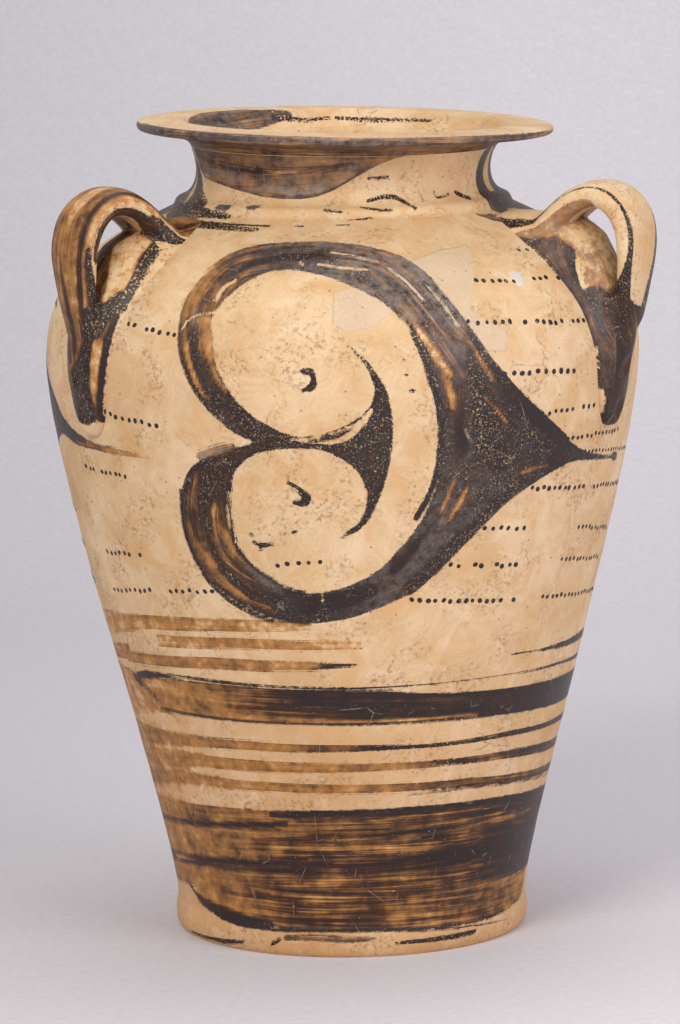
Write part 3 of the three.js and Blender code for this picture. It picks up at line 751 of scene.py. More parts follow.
def store_paint(piece, paint):
    """Stores the paint on a piece's first points. The rest stays bare."""
    count = len(piece.data.vertices)
    for key, bare in (("depth", -9.0), ("load", 0.0), ("wear", 0.0), ("grey", 0.0)):
        values = np.full(count, bare, np.float32)
        values[: len(paint[key])] = paint[key]
        piece.data.attributes.new("paint_" + key, "FLOAT", "POINT").data.foreach_set("value", values)
    flow = np.zeros((count, 3), np.float32)
    flow[: len(paint["flow"])] = paint["flow"]
    stored = piece.data.attributes.new("paint_flow", "FLOAT_VECTOR", "POINT")
    stored.data.foreach_set("vector", flow.ravel())


wash_streak_mm = (34, 2.0)
bristle_mm = (60, 0.4)
ragged_mm = 0.7
flake_mm = 0.95
craze_mm = 1.25
scuff_mm = 15
blot_mm = 2.6
film_mm = 3.5
patch_mm = 8


def slip_nodes(material, mm, ground, ground_rough, ground_height):
    """Lays the slip over a ground's nodes. Returns the new colour, roughness and height."""
    tree = material.node_tree
    names = ("depth", "load", "wear", "grey", "flow")
    stored = {n: add(tree, "ShaderNodeAttribute", attribute_name="paint_" + n) for n in names}
    depth, load, wear, grey = (stored[n].outputs["Fac"] for n in names[:4])
    flow = stored["flow"].outputs["Vector"]

    # Brush marks that follow the stroke, and clouds and blots that don't
    marks = {}
    for name, (long_mm, wide_mm) in (("wash", wash_streak_mm), ("bristle", bristle_mm)):
        stretch = {0: flow, 1: (1 / long_mm, 1 / long_mm, 1 / wide_mm)}
        stretched = add(tree, "ShaderNodeVectorMath", stretch, operation="MULTIPLY")
        noise = noise_at(tree, stretched, 1, Detail=3.0, Distortion=0.1)
        marks[name] = maths(tree, "SUBTRACT", noise, 0.5)
    for name, size_mm in (("patch", patch_mm), ("blot", blot_mm), ("ragged", ragged_mm)):
        noise = noise_at(tree, mm, size_mm, Detail=4.0)
        marks[name] = maths(tree, "SUBTRACT", noise, 0.5)

    # Edge: a brush leaves it a little ragged, and more so where the slip is thin and dry
    dry = remap(tree, load, (0, 1), (5.0, 2.0))
    edge = maths(tree, "MULTIPLY_ADD", marks["bristle"], dry, depth)
    edge = maths(tree, "MULTIPLY_ADD", marks["ragged"], 1.3, edge)
    edge = maths(tree, "MULTIPLY_ADD", marks["blot"], 1.2, edge)
    inside = remap(tree, edge, (0, 0.4), interpolation_type="SMOOTHSTEP")

    # Thickness: streaked most where the brush was running dry between a wash and a full load, with
    # a rim where the wet slip pooled
    rising = remap(tree, load, (0.36, 0.6), (0.3, 1.75))
    falling = remap(tree, load, (0.72, 1.0), (0, 1.15))
    streaky = maths(tree, "SUBTRACT", rising, falling)
    streak = maths(tree, "MULTIPLY_ADD", marks["bristle"], 0.62, marks["wash"])
    thick = maths(tree, "MULTIPLY_ADD", streak, streaky, load)
    near_edge = remap(tree, depth, (2.0, 0.3))
    pooled = remap(tree, load, (0.25, 0.8), (0.06, 0.25))
    thick = maths(tree, "MULTIPLY_ADD", near_edge, pooled, thick)
    thick = maths(tree, "MULTIPLY_ADD", marks["patch"], 0.85, thick)
    thin_only = remap(tree, load, (0.1, 0.8), (0.55, 0.15))
    thick = maths(tree, "MULTIPLY_ADD", marks["blot"], thin_only, thick)

    # Wear: flakes lost down to the ground, more in some patches, along the crazing and in scuffs
    loss = maths(tree, "MULTIPLY_ADD", marks["patch"], 0.9, wear)
    flake = noise_at(tree, mm, flake_mm, Detail=4.0, Roughness=0.6)
    high = maths(tree, "MULTIPLY_ADD", loss, 0.15, flake)
    weak_edge = remap(tree, depth, (1.8, 0.2), (0, 0.12))
    weak_edge = maths(tree, "MULTIPLY", weak_edge, wear)
    high = maths(tree, "ADD", high, weak_edge)
    flaked = remap(tree, high, (0.715, 0.745))
    craze = cell_edges(tree, mm, craze_mm)
    line = remap(tree, craze, (0.1, 0.03))
    open_crack = remap(tree, loss, (0.1, 0.5), (0, 0.6))
    line = maths(tree, "MULTIPLY", line, open_crack)
    laid_thick = remap(tree, load, (0.72, 0.95))
    line = maths(tree, "MULTIPLY", line, laid_thick)
    some = remap(tree, flake, (0.5, 0.6))
    cracked = maths(tree, "MULTIPLY", line, some)
    bend = add(tree, "ShaderNodeVectorMath", {0: mm, 1: (0.9, 1.0, 0.55)}, operation="MULTIPLY")
    scuff = cell_edges(tree, bend, scuff_mm)
    scuff = remap(tree, scuff, (0.011, 0.004))
    seldom = remap(tree, marks["patch"], (0.05, 0.16), (0, 0.4))
    scuffed = maths(tree, "MULTIPLY", scuff, seldom)
    lost = maths(tree, "MAXIMUM", flaked, cracked)
    lost = maths(tree, "MAXIMUM", lost, scuffed)
    kept = maths(tree, "SUBTRACT", 1.0, lost)
    touched = remap(tree, thick, (0.02, 0.2))
    cover = maths(tree, "MULTIPLY", inside, kept)
    cover = maths(tree, "MULTIPLY", cover, touched)

    # Colour by thickness, with a thin grey film over some of it: mostly the restorer's paint, and
    # painted sheen and painted shade on the neck fill and the right handle
    tones = (
        (0.0, "c28e4c"), (0.22, "ac7434"), (0.4, "85582b"), (0.55, "5a3a23"), (0.7, "41291e"),
        (0.86, "30211d"), (1.0, "282020"),
    )
    fired = add(tree, "ShaderNodeValToRGB", {"Fac": thick}, stops=tones)
    film = noise_at(tree, mm, film_mm, Detail=5.0, Roughness=0.7)
    film = remap(tree, film, (0.36, 0.62))
    film_and_painted_light = maths(tree, "MULTIPLY", film, grey)
    slip = mixed(tree, film_and_painted_light, fired, linear("7d7672"))
    opaque = remap(tree, thick, (0.05, 0.6), (0.84, 1))
    opaque = maths(tree, "MULTIPLY", opaque, cover)
    colour = mixed(tree, opaque, ground, slip)
    slip_rough = remap(tree, thick, (0.3, 1), (0.52, 0.4))
    rough = add(tree, "ShaderNodeMix", {0: cover, 2: ground_rough, 3: slip_rough})
    body = remap(tree, thick, (0.2, 1), (0.02, 0.1))
    height = maths(tree, "MULTIPLY_ADD", cover, body, ground_height)
    return colour, rough, height


painted_clay = bpy.data.materials.new("fired buff clay with iron-slip paint")
painted_clay.use_nodes = True
close_material(painted_clay, *slip_nodes(painted_clay, *ground_nodes(painted_clay, clay_tones, 1)))

foot_inside = np.array([(63, 0), (disc_radius - 2, 2), (disc_radius - 1, disc_top - 0.5), (69.5, 16)])
foot_ring, foot_points, foot_painted = turned_shell("foot_ring_clay", foot_side, foot_inside)
store_paint(foot_ring, banded(foot_points[:foot_painted]))
foot_ring.data.materials.append(painted_clay)
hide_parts("foot_ring")
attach(foot_ring, "root")

# Lower wall: the tall cone of clay on the foot, built of coils and scraped smooth. The painter
# turned the jar and held a loaded brush to it, so the bands run out from orange to black as the
# brush was filled again.
seam_row = int(np.abs(lower_side[:, 1] - lower_seam_height).argmin())
lower_rows = lower_side[: seam_row + 1]
lower_wall, lower_points, lower_painted = turned_shell(
    "lower_wall_clay", lower_rows, inner_wall(lower_rows, 8, 7.3, 26)
)
store_paint(lower_wall, banded(lower_points[:lower_painted]))
lower_wall.data.materials.append(painted_clay)
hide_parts("lower_wall")
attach(lower_wall, "root")

# Belly: the widest band of clay. The ivy leaf lies on its side across it with its tip to the
# right. Its outline was filled with a loaded brush, and the ground left bare inside it makes the
# two curled lobes. Its outlines and strokes are pixels of the photo, and its dabs are degrees and
# mm. The leaves that the photo doesn't show are the same leaf, turned and raised.
leaf_places = [(120, 0), (-122, 10), (0, 0)]
leaf_outline_px = [
    (252, 442), (237.5, 435), (224, 425), (204.5, 406.5), (190, 385), (179.5, 355.5), (178, 335),
    (182.5, 306), (199, 277), (225, 256), (251.5, 246), (285.5, 242), (317, 242), (356, 244), (387.5, 252),
    (416, 269), (446, 298), (466, 321), (490.5, 355), (505, 376), (526, 400), (547, 421), (568.5, 438.5),
    (579, 446.5), (594, 453), (615, 455), (615, 458), (594, 460.5), (574, 462), (552, 472.5), (532.5, 485),
    (514.5, 497.5), (499, 511), (479, 531), (458.5, 552), (434, 576), (408, 595), (374, 610.5),
    (343, 620.5), (306, 623.5), (275, 618.5), (244, 606), (217.5, 588), (199, 567), (186, 541),
    (180.5, 512), (182, 489), (191, 468), (210, 454), (233, 447),
]
bare_ground_px = [
    (213.5, 335), (212.5, 319.5), (227.5, 297.5), (252, 279), (277.5, 271), (306, 272), (341, 282),
    (367.5, 294.5), (386.5, 306), (404.5, 323), (421.5, 345.5), (433.5, 376), (439, 408), (440, 439),
    (437.5, 477.5), (431, 499), (418, 524.5), (394.5, 553.5), (374, 572), (348, 585.5), (317, 592.5),
    (291, 589), (270.5, 578.5), (245.5, 557), (233, 538), (227.5, 512), (230.5, 486), (238.5, 468),
    (254, 455.5), (275, 450), (306, 449), (330, 453.5), (353.5, 468.5), (365, 488.5), (365, 508.5),
    (356, 525), (342, 536.5), (325, 540), (345, 538), (366, 524.5), (377.5, 503.5), (386, 481),
    (391.5, 456), (393.5, 431), (391, 405.5), (383.5, 383), (366.5, 360), (343, 342), (362.5, 362.5),
    (373, 384.5), (372, 406), (359.5, 423), (338, 433.5), (312, 437.5), (290.5, 434.5), (269.5, 425.5),
    (246, 409.5), (227.5, 387.5), (216, 361),
]
# How the leaf was filled: brush dabs of (degrees, height, load, wear, grey film of restorer's paint)
leaf_dabs = [
    (-34.5, 268, 0.42, 0.15, 0.1), (-34, 283, 0.36, 0.15, 0.0), (-31, 297, 0.38, 0.2, 0.1),
    (-26, 300, 0.62, 0.3, 0.3), (-20, 301, 0.95, 0.3, 0.3), (-11, 300.5, 0.92, 0.3, 0.6),
    (-3, 299.5, 0.66, 0.25, 0.8), (5, 296, 0.62, 0.3, 0.8), (10, 290, 0.6, 0.45, 0.7),
    (14.5, 281, 0.58, 0.5, 0.6), (17.5, 270, 0.5, 0.42, 0.6), (19, 258, 0.62, 0.3, 0.4),
    (20, 246, 0.88, 0.32, 0.2), (26.5, 244, 0.85, 0.1, 0.0), (22, 236, 0.95, 0.4, 0.1),
    (29, 232, 0.95, 0.38, 0.0), (36, 224, 1.0, 0.3, 0.0), (45, 216, 0.95, 0.1, 0.0),
    (60, 210, 0.9, 0.1, 0.0), (30, 218, 1.0, 0.42, 0.1), (22, 214, 0.95, 0.4, 0.2),
    (18, 224, 0.98, 0.4, 0.2), (24, 204, 0.9, 0.3, 0.3), (20, 193, 0.86, 0.2, 0.3),
    (16, 180, 0.84, 0.16, 0.4), (10, 168, 0.82, 0.15, 0.4), (3, 161, 0.84, 0.2, 0.4),
    (-6, 157, 1.0, 0.3, 0.1), (-14, 157, 1.0, 0.25, 0.0), (-22, 161, 0.86, 0.2, 0.1),
    (-28, 169, 0.6, 0.15, 0.1), (-31, 178, 0.5, 0.12, 0.1), (-33, 190, 0.56, 0.15, 0.1),
    (-33, 202, 0.7, 0.25, 0.0), (-29.5, 214, 0.92, 0.35, 0.0), (-24, 224, 0.95, 0.3, 0.0),
    (-18, 228.5, 0.9, 0.3, 0.0), (-9, 227.5, 0.85, 0.35, 0.0), (-2, 226, 0.98, 0.4, 0.0),
    (3.5, 226, 1.0, 0.42, 0.1), (4.5, 244, 0.95, 0.3, 0.0), (2.5, 258, 0.95, 0.3, 0.0),
    (2.5, 204, 0.98, 0.35, 0.0), (-2, 190, 0.95, 0.4, 0.0), (-24.5, 237, 0.95, 0.35, 0.0),
    (-29, 246, 0.8, 0.35, 0.0), (-32.5, 256, 0.62, 0.25, 0.0),
]
# Strokes in the leaf, what is rubbed bare in it, and marks beside it, in pixels like those above
leaf_strokes = from_photo({
    "film along the top": [(240, 252, 2.5, 0.55, 0.3, 0.7), (270, 246, 3, 0.55, 0.25, 0.8),
        (300, 243.5, 3.5, 0.5, 0.3, 0.8), (330, 244, 4, 0.45, 0.3, 0.8), (355, 247, 5, 0.45, 0.35, 0.9),
        (380, 253, 7, 0.5, 0.3, 1), (400, 262, 9, 0.55, 0.3, 1), (420, 277, 10, 0.6, 0.3, 1),
        (440, 300, 9, 0.6, 0.4, 0.9), (455, 318, 8, 0.6, 0.4, 0.8)],
    "film inside the bow": [(340, 270, 3, 0.5, 0.5, 0.6), (356, 273, 5, 0.6, 0.45, 0.8),
        (372, 282, 4.5, 0.8, 0.5, 0.8), (385, 290, 4, 0.6, 0.4, 1), (400, 305, 4, 0.55, 0.4, 1),
        (412, 318, 3, 0.5, 0.4, 1)],
    "upper dark stroke": [(222, 282, 2, 0.6, 0.3, 0.3), (236, 272, 3.4, 0.9, 0.25, 0.1),
        (255, 263, 4.5, 1, 0.2, 0), (280, 258, 5.5, 1, 0.25, 0), (300, 257, 6, 1, 0.4, 0),
        (320, 256, 5.5, 1, 0.4, 0), (335, 259, 3, 1, 0.45, 0)],
    "fleck by the film, left": [(358, 276, 4, 1, 0.4, 0.2), (368, 279, 3, 1, 0.4, 0.2)],
    "fleck by the film, right": [(393, 284, 3, 0.9, 0.3, 0.5), (404, 290, 2, 0.9, 0.3, 0.5)],
    "gap, high left": [(400, 318, 1.5, 0.08, 0.5, 0.3), (415, 328, 3.2, 0.06, 0.5, 0.3),
        (428, 345, 4.2, 0.04, 0.5, 0.2), (440, 362, 3.6, 0.05, 0.5, 0), (452, 376, 1.6, 0.1, 0.5, 0)],
    "gap, high right": [(470, 335, 2, 0.1, 0.5, 0.4), (478, 352, 2.6, 0.1, 0.5, 0.2),
        (488, 368, 3, 0.15, 0.5, 0), (494, 380, 1.6, 0.2, 0.5, 0)],
    "inner line, right": [(408, 322, 1.5, 0.8, 0.5, 0.3), (415, 338, 3, 0.95, 0.45, 0.1),
        (425, 358, 4, 1, 0.4, 0), (432, 380, 4.5, 1, 0.4, 0), (438, 400, 4, 1, 0.35, 0),
        (441, 425, 3.5, 1, 0.35, 0), (440, 450, 3.5, 1, 0.35, 0), (436, 475, 3.5, 1, 0.35, 0),
        (428, 497, 3.5, 1, 0.35, 0), (416, 518, 3.5, 1, 0.3, 0)],
    "orange streak, middle": [(444, 375, 3, 0.26, 0.35, 0), (450, 390, 4, 0.28, 0.3, 0),
        (453, 408, 2.6, 0.34, 0.3, 0)],
    "brown pool": [(460, 388, 2, 0.7, 0.25, 0), (462, 405, 2.5, 0.72, 0.2, 0),
        (458, 425, 4.5, 0.86, 0.08, 0), (462, 445, 7.5, 0.93, 0.05, 0), (455, 460, 7, 0.82, 0.15, 0.2)],
    "black mass": [(470, 350, 3, 0.9, 0.5, 0.1), (475, 375, 7, 1, 0.5, 0), (482, 400, 11, 1, 0.45, 0),
        (488, 425, 16, 1, 0.42, 0), (492, 445, 17, 1, 0.42, 0), (500, 462, 12, 1, 0.35, 0)],
    "outer dark edge": [(465, 322, 2, 0.6, 0.5, 0.5), (475, 342, 3, 0.9, 0.45, 0),
        (490, 362, 4.5, 1, 0.35, 0), (505, 382, 7, 0.97, 0.12, 0), (522, 402, 8, 0.96, 0.05, 0),
        (545, 424, 8, 0.96, 0.04, 0), (565, 442, 7, 0.96, 0.1, 0)],
    "tip": [(530, 434, 9, 1, 0.35, 0), (550, 448, 8, 1, 0.3, 0), (575, 452, 4, 1, 0.15, 0),
        (598, 455, 1.6, 0.9, 0.1, 0), (612, 456, 1, 0.7, 0.2, 0)],
    "bare scratch": [(484, 396, 0.8, 0.2, 0.4, 0), (495, 408, 1.5, 0.15, 0.4, 0),
        (506, 422, 1.6, 0.2, 0.4, 0)],
    "orange streak, low": [(512, 478, 1.2, 0.45, 0.2, 0), (530, 470, 2, 0.4, 0.2, 0),
        (548, 465, 1.2, 0.45, 0.3, 0)],
    "lower right crazing": [(520, 480, 5, 1, 0.4, 0), (505, 495, 6, 1, 0.4, 0),
        (490, 510, 6, 1, 0.42, 0), (470, 530, 7, 1, 0.42, 0), (450, 550, 8, 1, 0.42, 0),
        (430, 570, 8, 1, 0.4, 0), (410, 588, 8, 1, 0.4, 0)],
    "tan wedge, left": [(456, 478, 1.6, 0.3, 0.4, 0), (447, 498, 2.5, 0.2, 0.4, 0),
        (441, 514, 1.5, 0.3, 0.4, 0)],
    "tan wedge, right": [(467, 488, 2.2, 0.2, 0.5, 0), (459, 504, 3, 0.15, 0.5, 0),
        (449, 519, 1.6, 0.25, 0.5, 0)],
    "grey streak": [(450, 505, 4, 0.72, 0.1, 0.5), (440, 525, 5, 0.75, 0.08, 0.5),
        (428, 545, 4, 0.78, 0.1, 0.4)],
    "red-brown pool": [(418, 540, 4, 0.93, 0.08, 0), (405, 557, 6.5, 0.93, 0.05, 0),
        (393, 570, 5.5, 0.93, 0.06, 0)],
    "lowest pool": [(372, 590, 7, 0.98, 0.15, 0), (340, 600, 10, 0.98, 0.12, 0),
        (310, 606, 9, 0.98, 0.12, 0), (288, 603, 7, 0.98, 0.2, 0.1)],
    "lower bow, outer line": [(181, 490, 2, 1, 0.4, 0), (182, 515, 2, 1, 0.35, 0),
        (188, 540, 2.4, 0.95, 0.3, 0), (196, 560, 2.4, 0.9, 0.3, 0), (208, 580, 2.6, 0.95, 0.3, 0),
        (225, 597, 3, 1, 0.35, 0), (250, 612, 3, 0.95, 0.4, 0), (272, 620, 2.5, 1, 0.3, 0)],
    "lower bow, brown streak": [(196, 475, 3, 0.7, 0.1, 0), (192, 500, 4.4, 0.62, 0.06, 0),
        (194, 525, 5, 0.7, 0.05, 0), (200, 545, 4.6, 0.46, 0.08, 0), (212, 565, 4.6, 0.36, 0.12, 0),
        (230, 585, 4.4, 0.42, 0.15, 0), (250, 600, 4, 0.5, 0.2, 0), (270, 608, 4, 0.62, 0.25, 0)],
    "lower bow, middle line": [(205, 480, 5, 1, 0.4, 0), (206, 510, 4, 1, 0.42, 0),
        (210, 540, 4, 1, 0.4, 0), (220, 562, 4, 1, 0.42, 0), (235, 580, 4, 1, 0.4, 0),
        (252, 594, 4, 1, 0.4, 0)],
    "lower bow, inner streak": [(218, 490, 3, 0.62, 0.12, 0), (222, 515, 4, 0.6, 0.1, 0),
        (226, 535, 4, 0.36, 0.1, 0), (236, 552, 4.4, 0.32, 0.15, 0), (250, 566, 4, 0.55, 0.2, 0.6),
        (262, 578, 4, 0.7, 0.25, 0.8), (280, 590, 4, 0.85, 0.3, 0.4)],
    "lower bow, inner edge": [(232, 475, 2, 0.9, 0.3, 0), (230, 505, 2, 0.92, 0.2, 0),
        (234, 535, 2, 0.9, 0.2, 0), (243, 555, 2, 0.85, 0.2, 0), (262, 573, 2.4, 0.72, 0.12, 0),
        (285, 586, 2, 0.55, 0.2, 0), (305, 591, 1.5, 0.8, 0.3, 0)],
    "lower bow, film": [(200, 455, 4, 0.3, 0.4, 0.9), (215, 450, 5, 0.4, 0.4, 0.8),
        (232, 446, 4, 0.6, 0.4, 0.5)],
    "left bow, orange streak": [(208, 318, 3.4, 0.26, 0.25, 0), (208, 340, 4.4, 0.28, 0.2, 0),
        (212, 360, 3.4, 0.28, 0.3, 0), (218, 378, 2.5, 0.3, 0.3, 0), (228, 392, 1.5, 0.25, 0.4, 0)],
    "left bow, pale streak": [(187, 345, 2.4, 0.22, 0.35, 0), (191, 365, 2.4, 0.26, 0.35, 0),
        (200, 388, 2.2, 0.2, 0.4, 0), (215, 403, 2, 0.12, 0.5, 0), (233, 416, 1.3, 0.08, 0.5, 0)],
    "left bow, outer line": [(179, 334, 1.4, 0.8, 0.4, 0), (183, 355, 1.6, 0.9, 0.4, 0),
        (190, 378, 1.7, 0.9, 0.5, 0), (203, 400, 2.2, 0.95, 0.45, 0), (220, 416, 2.6, 0.95, 0.45, 0.2),
        (235, 427, 3, 1, 0.45, 0.3)],
    "left bow, inner line": [(213, 290, 1.6, 0.75, 0.3, 0.3), (203, 303, 2, 0.8, 0.3, 0.4),
        (196, 318, 2.6, 0.7, 0.3, 0.8), (194, 335, 3.4, 0.97, 0.3, 0.1), (196, 355, 3.8, 1, 0.35, 0),
        (203, 378, 4.2, 1, 0.3, 0.1), (213, 395, 4.7, 1, 0.4, 0), (228, 410, 6, 1, 0.45, 0),
        (245, 425, 7, 1, 0.45, 0), (265, 438, 8, 1, 0.45, 0), (290, 442, 6, 1, 0.5, 0),
        (320, 445, 4, 1, 0.5, 0), (350, 442, 5, 1, 0.5, 0)],
    "dark rim of the curl": [(375, 395, 1.8, 0.95, 0.03, 0), (372, 406, 2.4, 0.95, 0.03, 0),
        (362, 417, 2.2, 0.95, 0.06, 0), (345, 427, 1.5, 0.95, 0.2, 0), (325, 434, 1.1, 0.95, 0.3, 0),
        (300, 438, 0.9, 0.95, 0.4, 0)],
})
leaf_bare = from_photo({
    "healed crack": [(182, 330, 0.5), (190, 319, 0.6), (200, 314.5, 0.7), (212, 313, 0.6),
        (224, 312, 0.4)],
    "lens at the join": [(292, 438.5, 0.5), (320, 442, 1), (338, 441, 1.8), (352, 433, 2.8),
        (364, 421, 2.6), (371, 410, 1.2)],
    "chip, low": [(323, 592, 0.7), (323, 602, 0.6)],
    "chip, top left": [(300, 262, 1.2), (304, 266, 1)],
    "streak, high": [(330, 252, 0.7), (352, 256, 1), (378, 262, 0.8)],
    "streak, mid": [(318, 264, 1.4), (345, 268, 1.8), (368, 270, 1)],
    "streak, right": [(388, 268, 0.8), (408, 284, 1), (424, 300, 0.7)],
    "streak, far right": [(428, 286, 0.7), (446, 308, 1), (458, 326, 0.8)],
    "tan streak, left": [(190, 292, 1), (200, 278, 1.4), (214, 266, 1)],
    "tan streak, left inner": [(216, 300, 1.6), (224, 288, 2), (236, 280, 1.4)],
})
leaf_marks = from_photo({
    "bean, upper bow": [(303, 371, 2.5), (311, 372, 3), (314, 380, 2.5), (312, 387, 3.4), (304, 390, 2)],
    "bean, lower bow": [(290, 484, 2.5), (296, 487, 2), (303, 493, 3), (307, 499, 3.6), (302, 503, 3.2),
        (295, 502, 2)],
    "flecks in the lens": [(324, 437, 1.4), (335, 436, 2), (348, 431, 1.6)],
    "bar": [(253, 542, 1.4), (262, 545, 2.2), (275, 544, 1.2)],
    "bar's dot": [(251, 534, 1.8), (252, 535, 2)],
    "bar's fleck": [(260, 549, 1.6), (262, 549, 1.6)],
    "tail dot, high": [(372, 505, 2), (368, 515, 2.2), (361, 519, 1.2)],
    "tail dot, low": [(357, 527, 1.6), (350, 531, 1.8), (343, 534, 0.7)],
    "stray, left": [(259, 478, 1.2), (260, 479, 1.2)],
    "stray, middle": [(285, 534, 1.2), (287, 533, 1.3)],
    "stray, right": [(294, 532, 1.8), (296, 531, 1.6)],
    "channel dot, high": [(401, 358, 1), (404, 360, 1.2)],
    "channel dot, upper": [(405, 374, 1.2), (409, 376, 1)],
    "channel dot, middle": [(411, 382, 1.2), (412, 383, 1.2)],
    "channel dot, low": [(411, 391, 1.6), (414, 391, 1.6)],
    "end dot": [(613, 455, 2.4), (616, 455, 3)],
})
# Strokes on the shoulder and neck outside the leaf, and the thin tip of the leaf to the left. Those
# of the neck are in pixels, and the others in degrees and mm.
shoulder_strokes = {
    "left leaf's tip": [(-70, 220, 1.3, 0.6, 0.4), (-60, 219.2, 1.0, 0.36, 0.4),
        (-50, 218.8, 1.0, 0.25, 0.4), (-44.5, 218.4, 0.6, 0.12, 0.6)],
    "left leaf's blotch": [(-79, 225, 2.5, 0.95, 0.3), (-73.5, 223, 2.2, 0.95, 0.3),
        (-69, 220, 1.2, 0.9, 0.3)],
    "neck side, right": [(88, 337, 11, 0.76, 0.3), (88, 328, 12, 0.8, 0.35), (88, 320, 13, 0.8, 0.35),
        (88, 314, 13, 0.74, 0.4)],
    "neck side, left": [(-98, 337, 10, 0.7, 0.4), (-98, 328, 10, 0.84, 0.5), (-96, 320, 11, 0.86, 0.6),
        (-94, 314, 11, 0.9, 0.66)],
    "fold flecks": [(-84, 314, 2.6, 1, 0.8), (-70, 315, 2.6, 1, 0.85), (-58, 314.5, 2.0, 1, 0.85),
        (-44, 314, 1.2, 1, 0.85)],
    "collar, left": [(-84, 318, 4, 1, 0.76), (-70, 313, 3.4, 1, 0.84), (-55, 311, 2.2, 1, 0.8),
        (-40, 310.4, 1.4, 1, 0.84), (-30, 310.2, 1.2, 1, 0.9)],
    "above the collar, left": [(-80, 330, 2.4, 0.95, 0.8), (-72, 321, 2.8, 1, 0.84),
        (-60, 318, 2, 1, 0.86)],
    "collar, right": [(67, 338, 2.2, 0.84, 0.4), (63, 328, 2.6, 0.86, 0.4), (62, 320, 3.4, 0.86, 0.45),
        (60, 314, 3.6, 0.74, 0.5)],
    "film, right": [(50, 311.5, 2.2, 0.5, 0.5, 0.5), (60, 308, 2.6, 0.5, 0.5, 0.5),
        (66, 305, 2.6, 0.5, 0.55, 0.5)],
    "end dot": [(67, 208.4, 1.3, 1, 0.3), (67.8, 208.2, 1.2, 1, 0.3)],
}
neck_strokes = from_photo({
    "left contour": [(197, 165, 4, 0.85, 0.35, 0.3), (199, 183, 4, 0.85, 0.4, 0.3),
        (190, 203, 4.5, 0.85, 0.45, 0.2), (176, 217, 4, 0.9, 0.45, 0.1)],
    "left foot patch": [(172, 214, 4, 0.9, 0.6, 0), (184, 210, 4.5, 0.9, 0.6, 0),
        (203, 205, 4, 0.9, 0.65, 0)],
    "dashed line, left": [(172, 227, 1.8, 0.95, 0.5, 0), (199, 222.5, 2, 0.95, 0.45, 0),
        (226, 224, 1.8, 0.95, 0.5, 0), (250, 225.5, 1.8, 0.95, 0.4, 0), (269, 226, 1.6, 0.95, 0.4, 0)],
    "grey patch, left": [(220, 206.5, 3, 0.7, 0.45, 0.6), (228, 207, 3, 0.7, 0.45, 0.6)],
    "grey patch, right": [(250, 207, 2.6, 0.75, 0.4, 0.5), (257, 207, 2.6, 0.75, 0.4, 0.5)],
    "speck, middle": [(297, 226, 1.6, 0.7, 0.5, 0.4), (302, 226, 1.6, 0.7, 0.5, 0.4)],
    "speck, low": [(300, 235, 1, 0.7, 0.5, 0), (302, 235, 1, 0.7, 0.5, 0)],
    "flake 1": [(325, 210, 1.4, 1, 0.69, 0), (341, 211.5, 1.4, 1, 0.64, 0)],
    "flake 2": [(337, 225, 1.4, 1, 0.54, 0), (349, 225, 1.3, 1, 0.54, 0)],
    "flake 3": [(349, 220, 1.1, 1, 0.64, 0), (372, 218, 1.1, 1, 0.69, 0)],
    "flake 4": [(361, 207.5, 1.4, 1, 0.69, 0), (376, 209.5, 1.5, 1, 0.64, 0),
        (391, 210.5, 1.3, 1, 0.64, 0)],
    "flake 5": [(368, 201, 1.8, 1, 0.64, 0), (384, 197, 2, 1, 0.59, 0), (399, 199, 2.3, 1, 0.59, 0),
        (415, 208, 1.7, 1, 0.54, 0)],
    "flake 6": [(368, 178.5, 1.4, 1, 0.59, 0), (388, 177, 1.4, 1, 0.59, 0)],
    "flake 7": [(434, 191, 0.9, 1, 0.64, 0), (438, 198, 1.3, 1, 0.64, 0), (449, 194, 1.3, 1, 0.64, 0)],
    "flake 8": [(457, 193, 2.4, 1, 0.59, 0), (468.5, 198, 2.8, 1, 0.59, 0)],
    "right contour": [(484, 153, 4, 0.9, 0.25, 0.2), (479, 172, 5, 0.9, 0.3, 0.1),
        (483, 191, 6, 0.9, 0.25, 0.1), (494, 205, 6, 0.85, 0.2, 0.2), (512, 216, 5, 0.8, 0.2, 0.3)],
    "right foot": [(478, 214, 2, 0.6, 0.3, 0.2), (497, 219, 3.5, 0.62, 0.2, 0.3),
        (516, 221, 3.5, 0.7, 0.2, 0.3)],
    "right shoulder": [(526, 231.5, 1.5, 0.9, 0.4, 0.2), (537.7, 240, 2.2, 1, 0.4, 0),
        (548, 247, 2.6, 1, 0.45, 0)],
})
dab_reach_mm = 9


def nearest_on(line, points):
    """Distance from points to a closed line, length along it there, and whether they lie inside."""
    start, end = line, np.roll(line, -1, 0)
    edge = end - start
    size = (edge**2).sum(1)
    gone = np.concatenate([[0], np.cumsum(np.sqrt(size))[:-1]])
    distance = np.empty(len(points))
    along = np.empty(len(points))
    inside = np.empty(len(points), bool)
    for first in range(0, len(points), 8000):
        part = slice(first, first + 8000)
        away = points[part, None] - start
        share = np.clip((away * edge).sum(2) / size, 0, 1)
        gap = np.hypot(*np.moveaxis(away - share[..., None] * edge, 2, 0))
        best = gap.argmin(1)
        picked = np.arange(len(best))
        distance[part] = gap[picked, best]
        along[part] = gone[best] + share[picked, best] * np.sqrt(size[best])
        high = start[:, 1] > points[part, None, 1]
        crosses = high != (end[:, 1] > points[part, None, 1])
        with np.errstate(divide="ignore", invalid="ignore"):
            at = start[:, 0] + (points[part, None, 1] - start[:, 1]) * edge[:, 0] / edge[:, 1]
        inside[part] = (crosses & (points[part, None, 0] < at)).sum(1) % 2 == 1
    return distance, along, inside


leaf_line, ground_line = (
    flat_mm(*smooth_line(np.column_stack(seen_at(pixels)[:2]), closed=True, steps=8).T)
    for pixels in (leaf_outline_px, bare_ground_px)
)


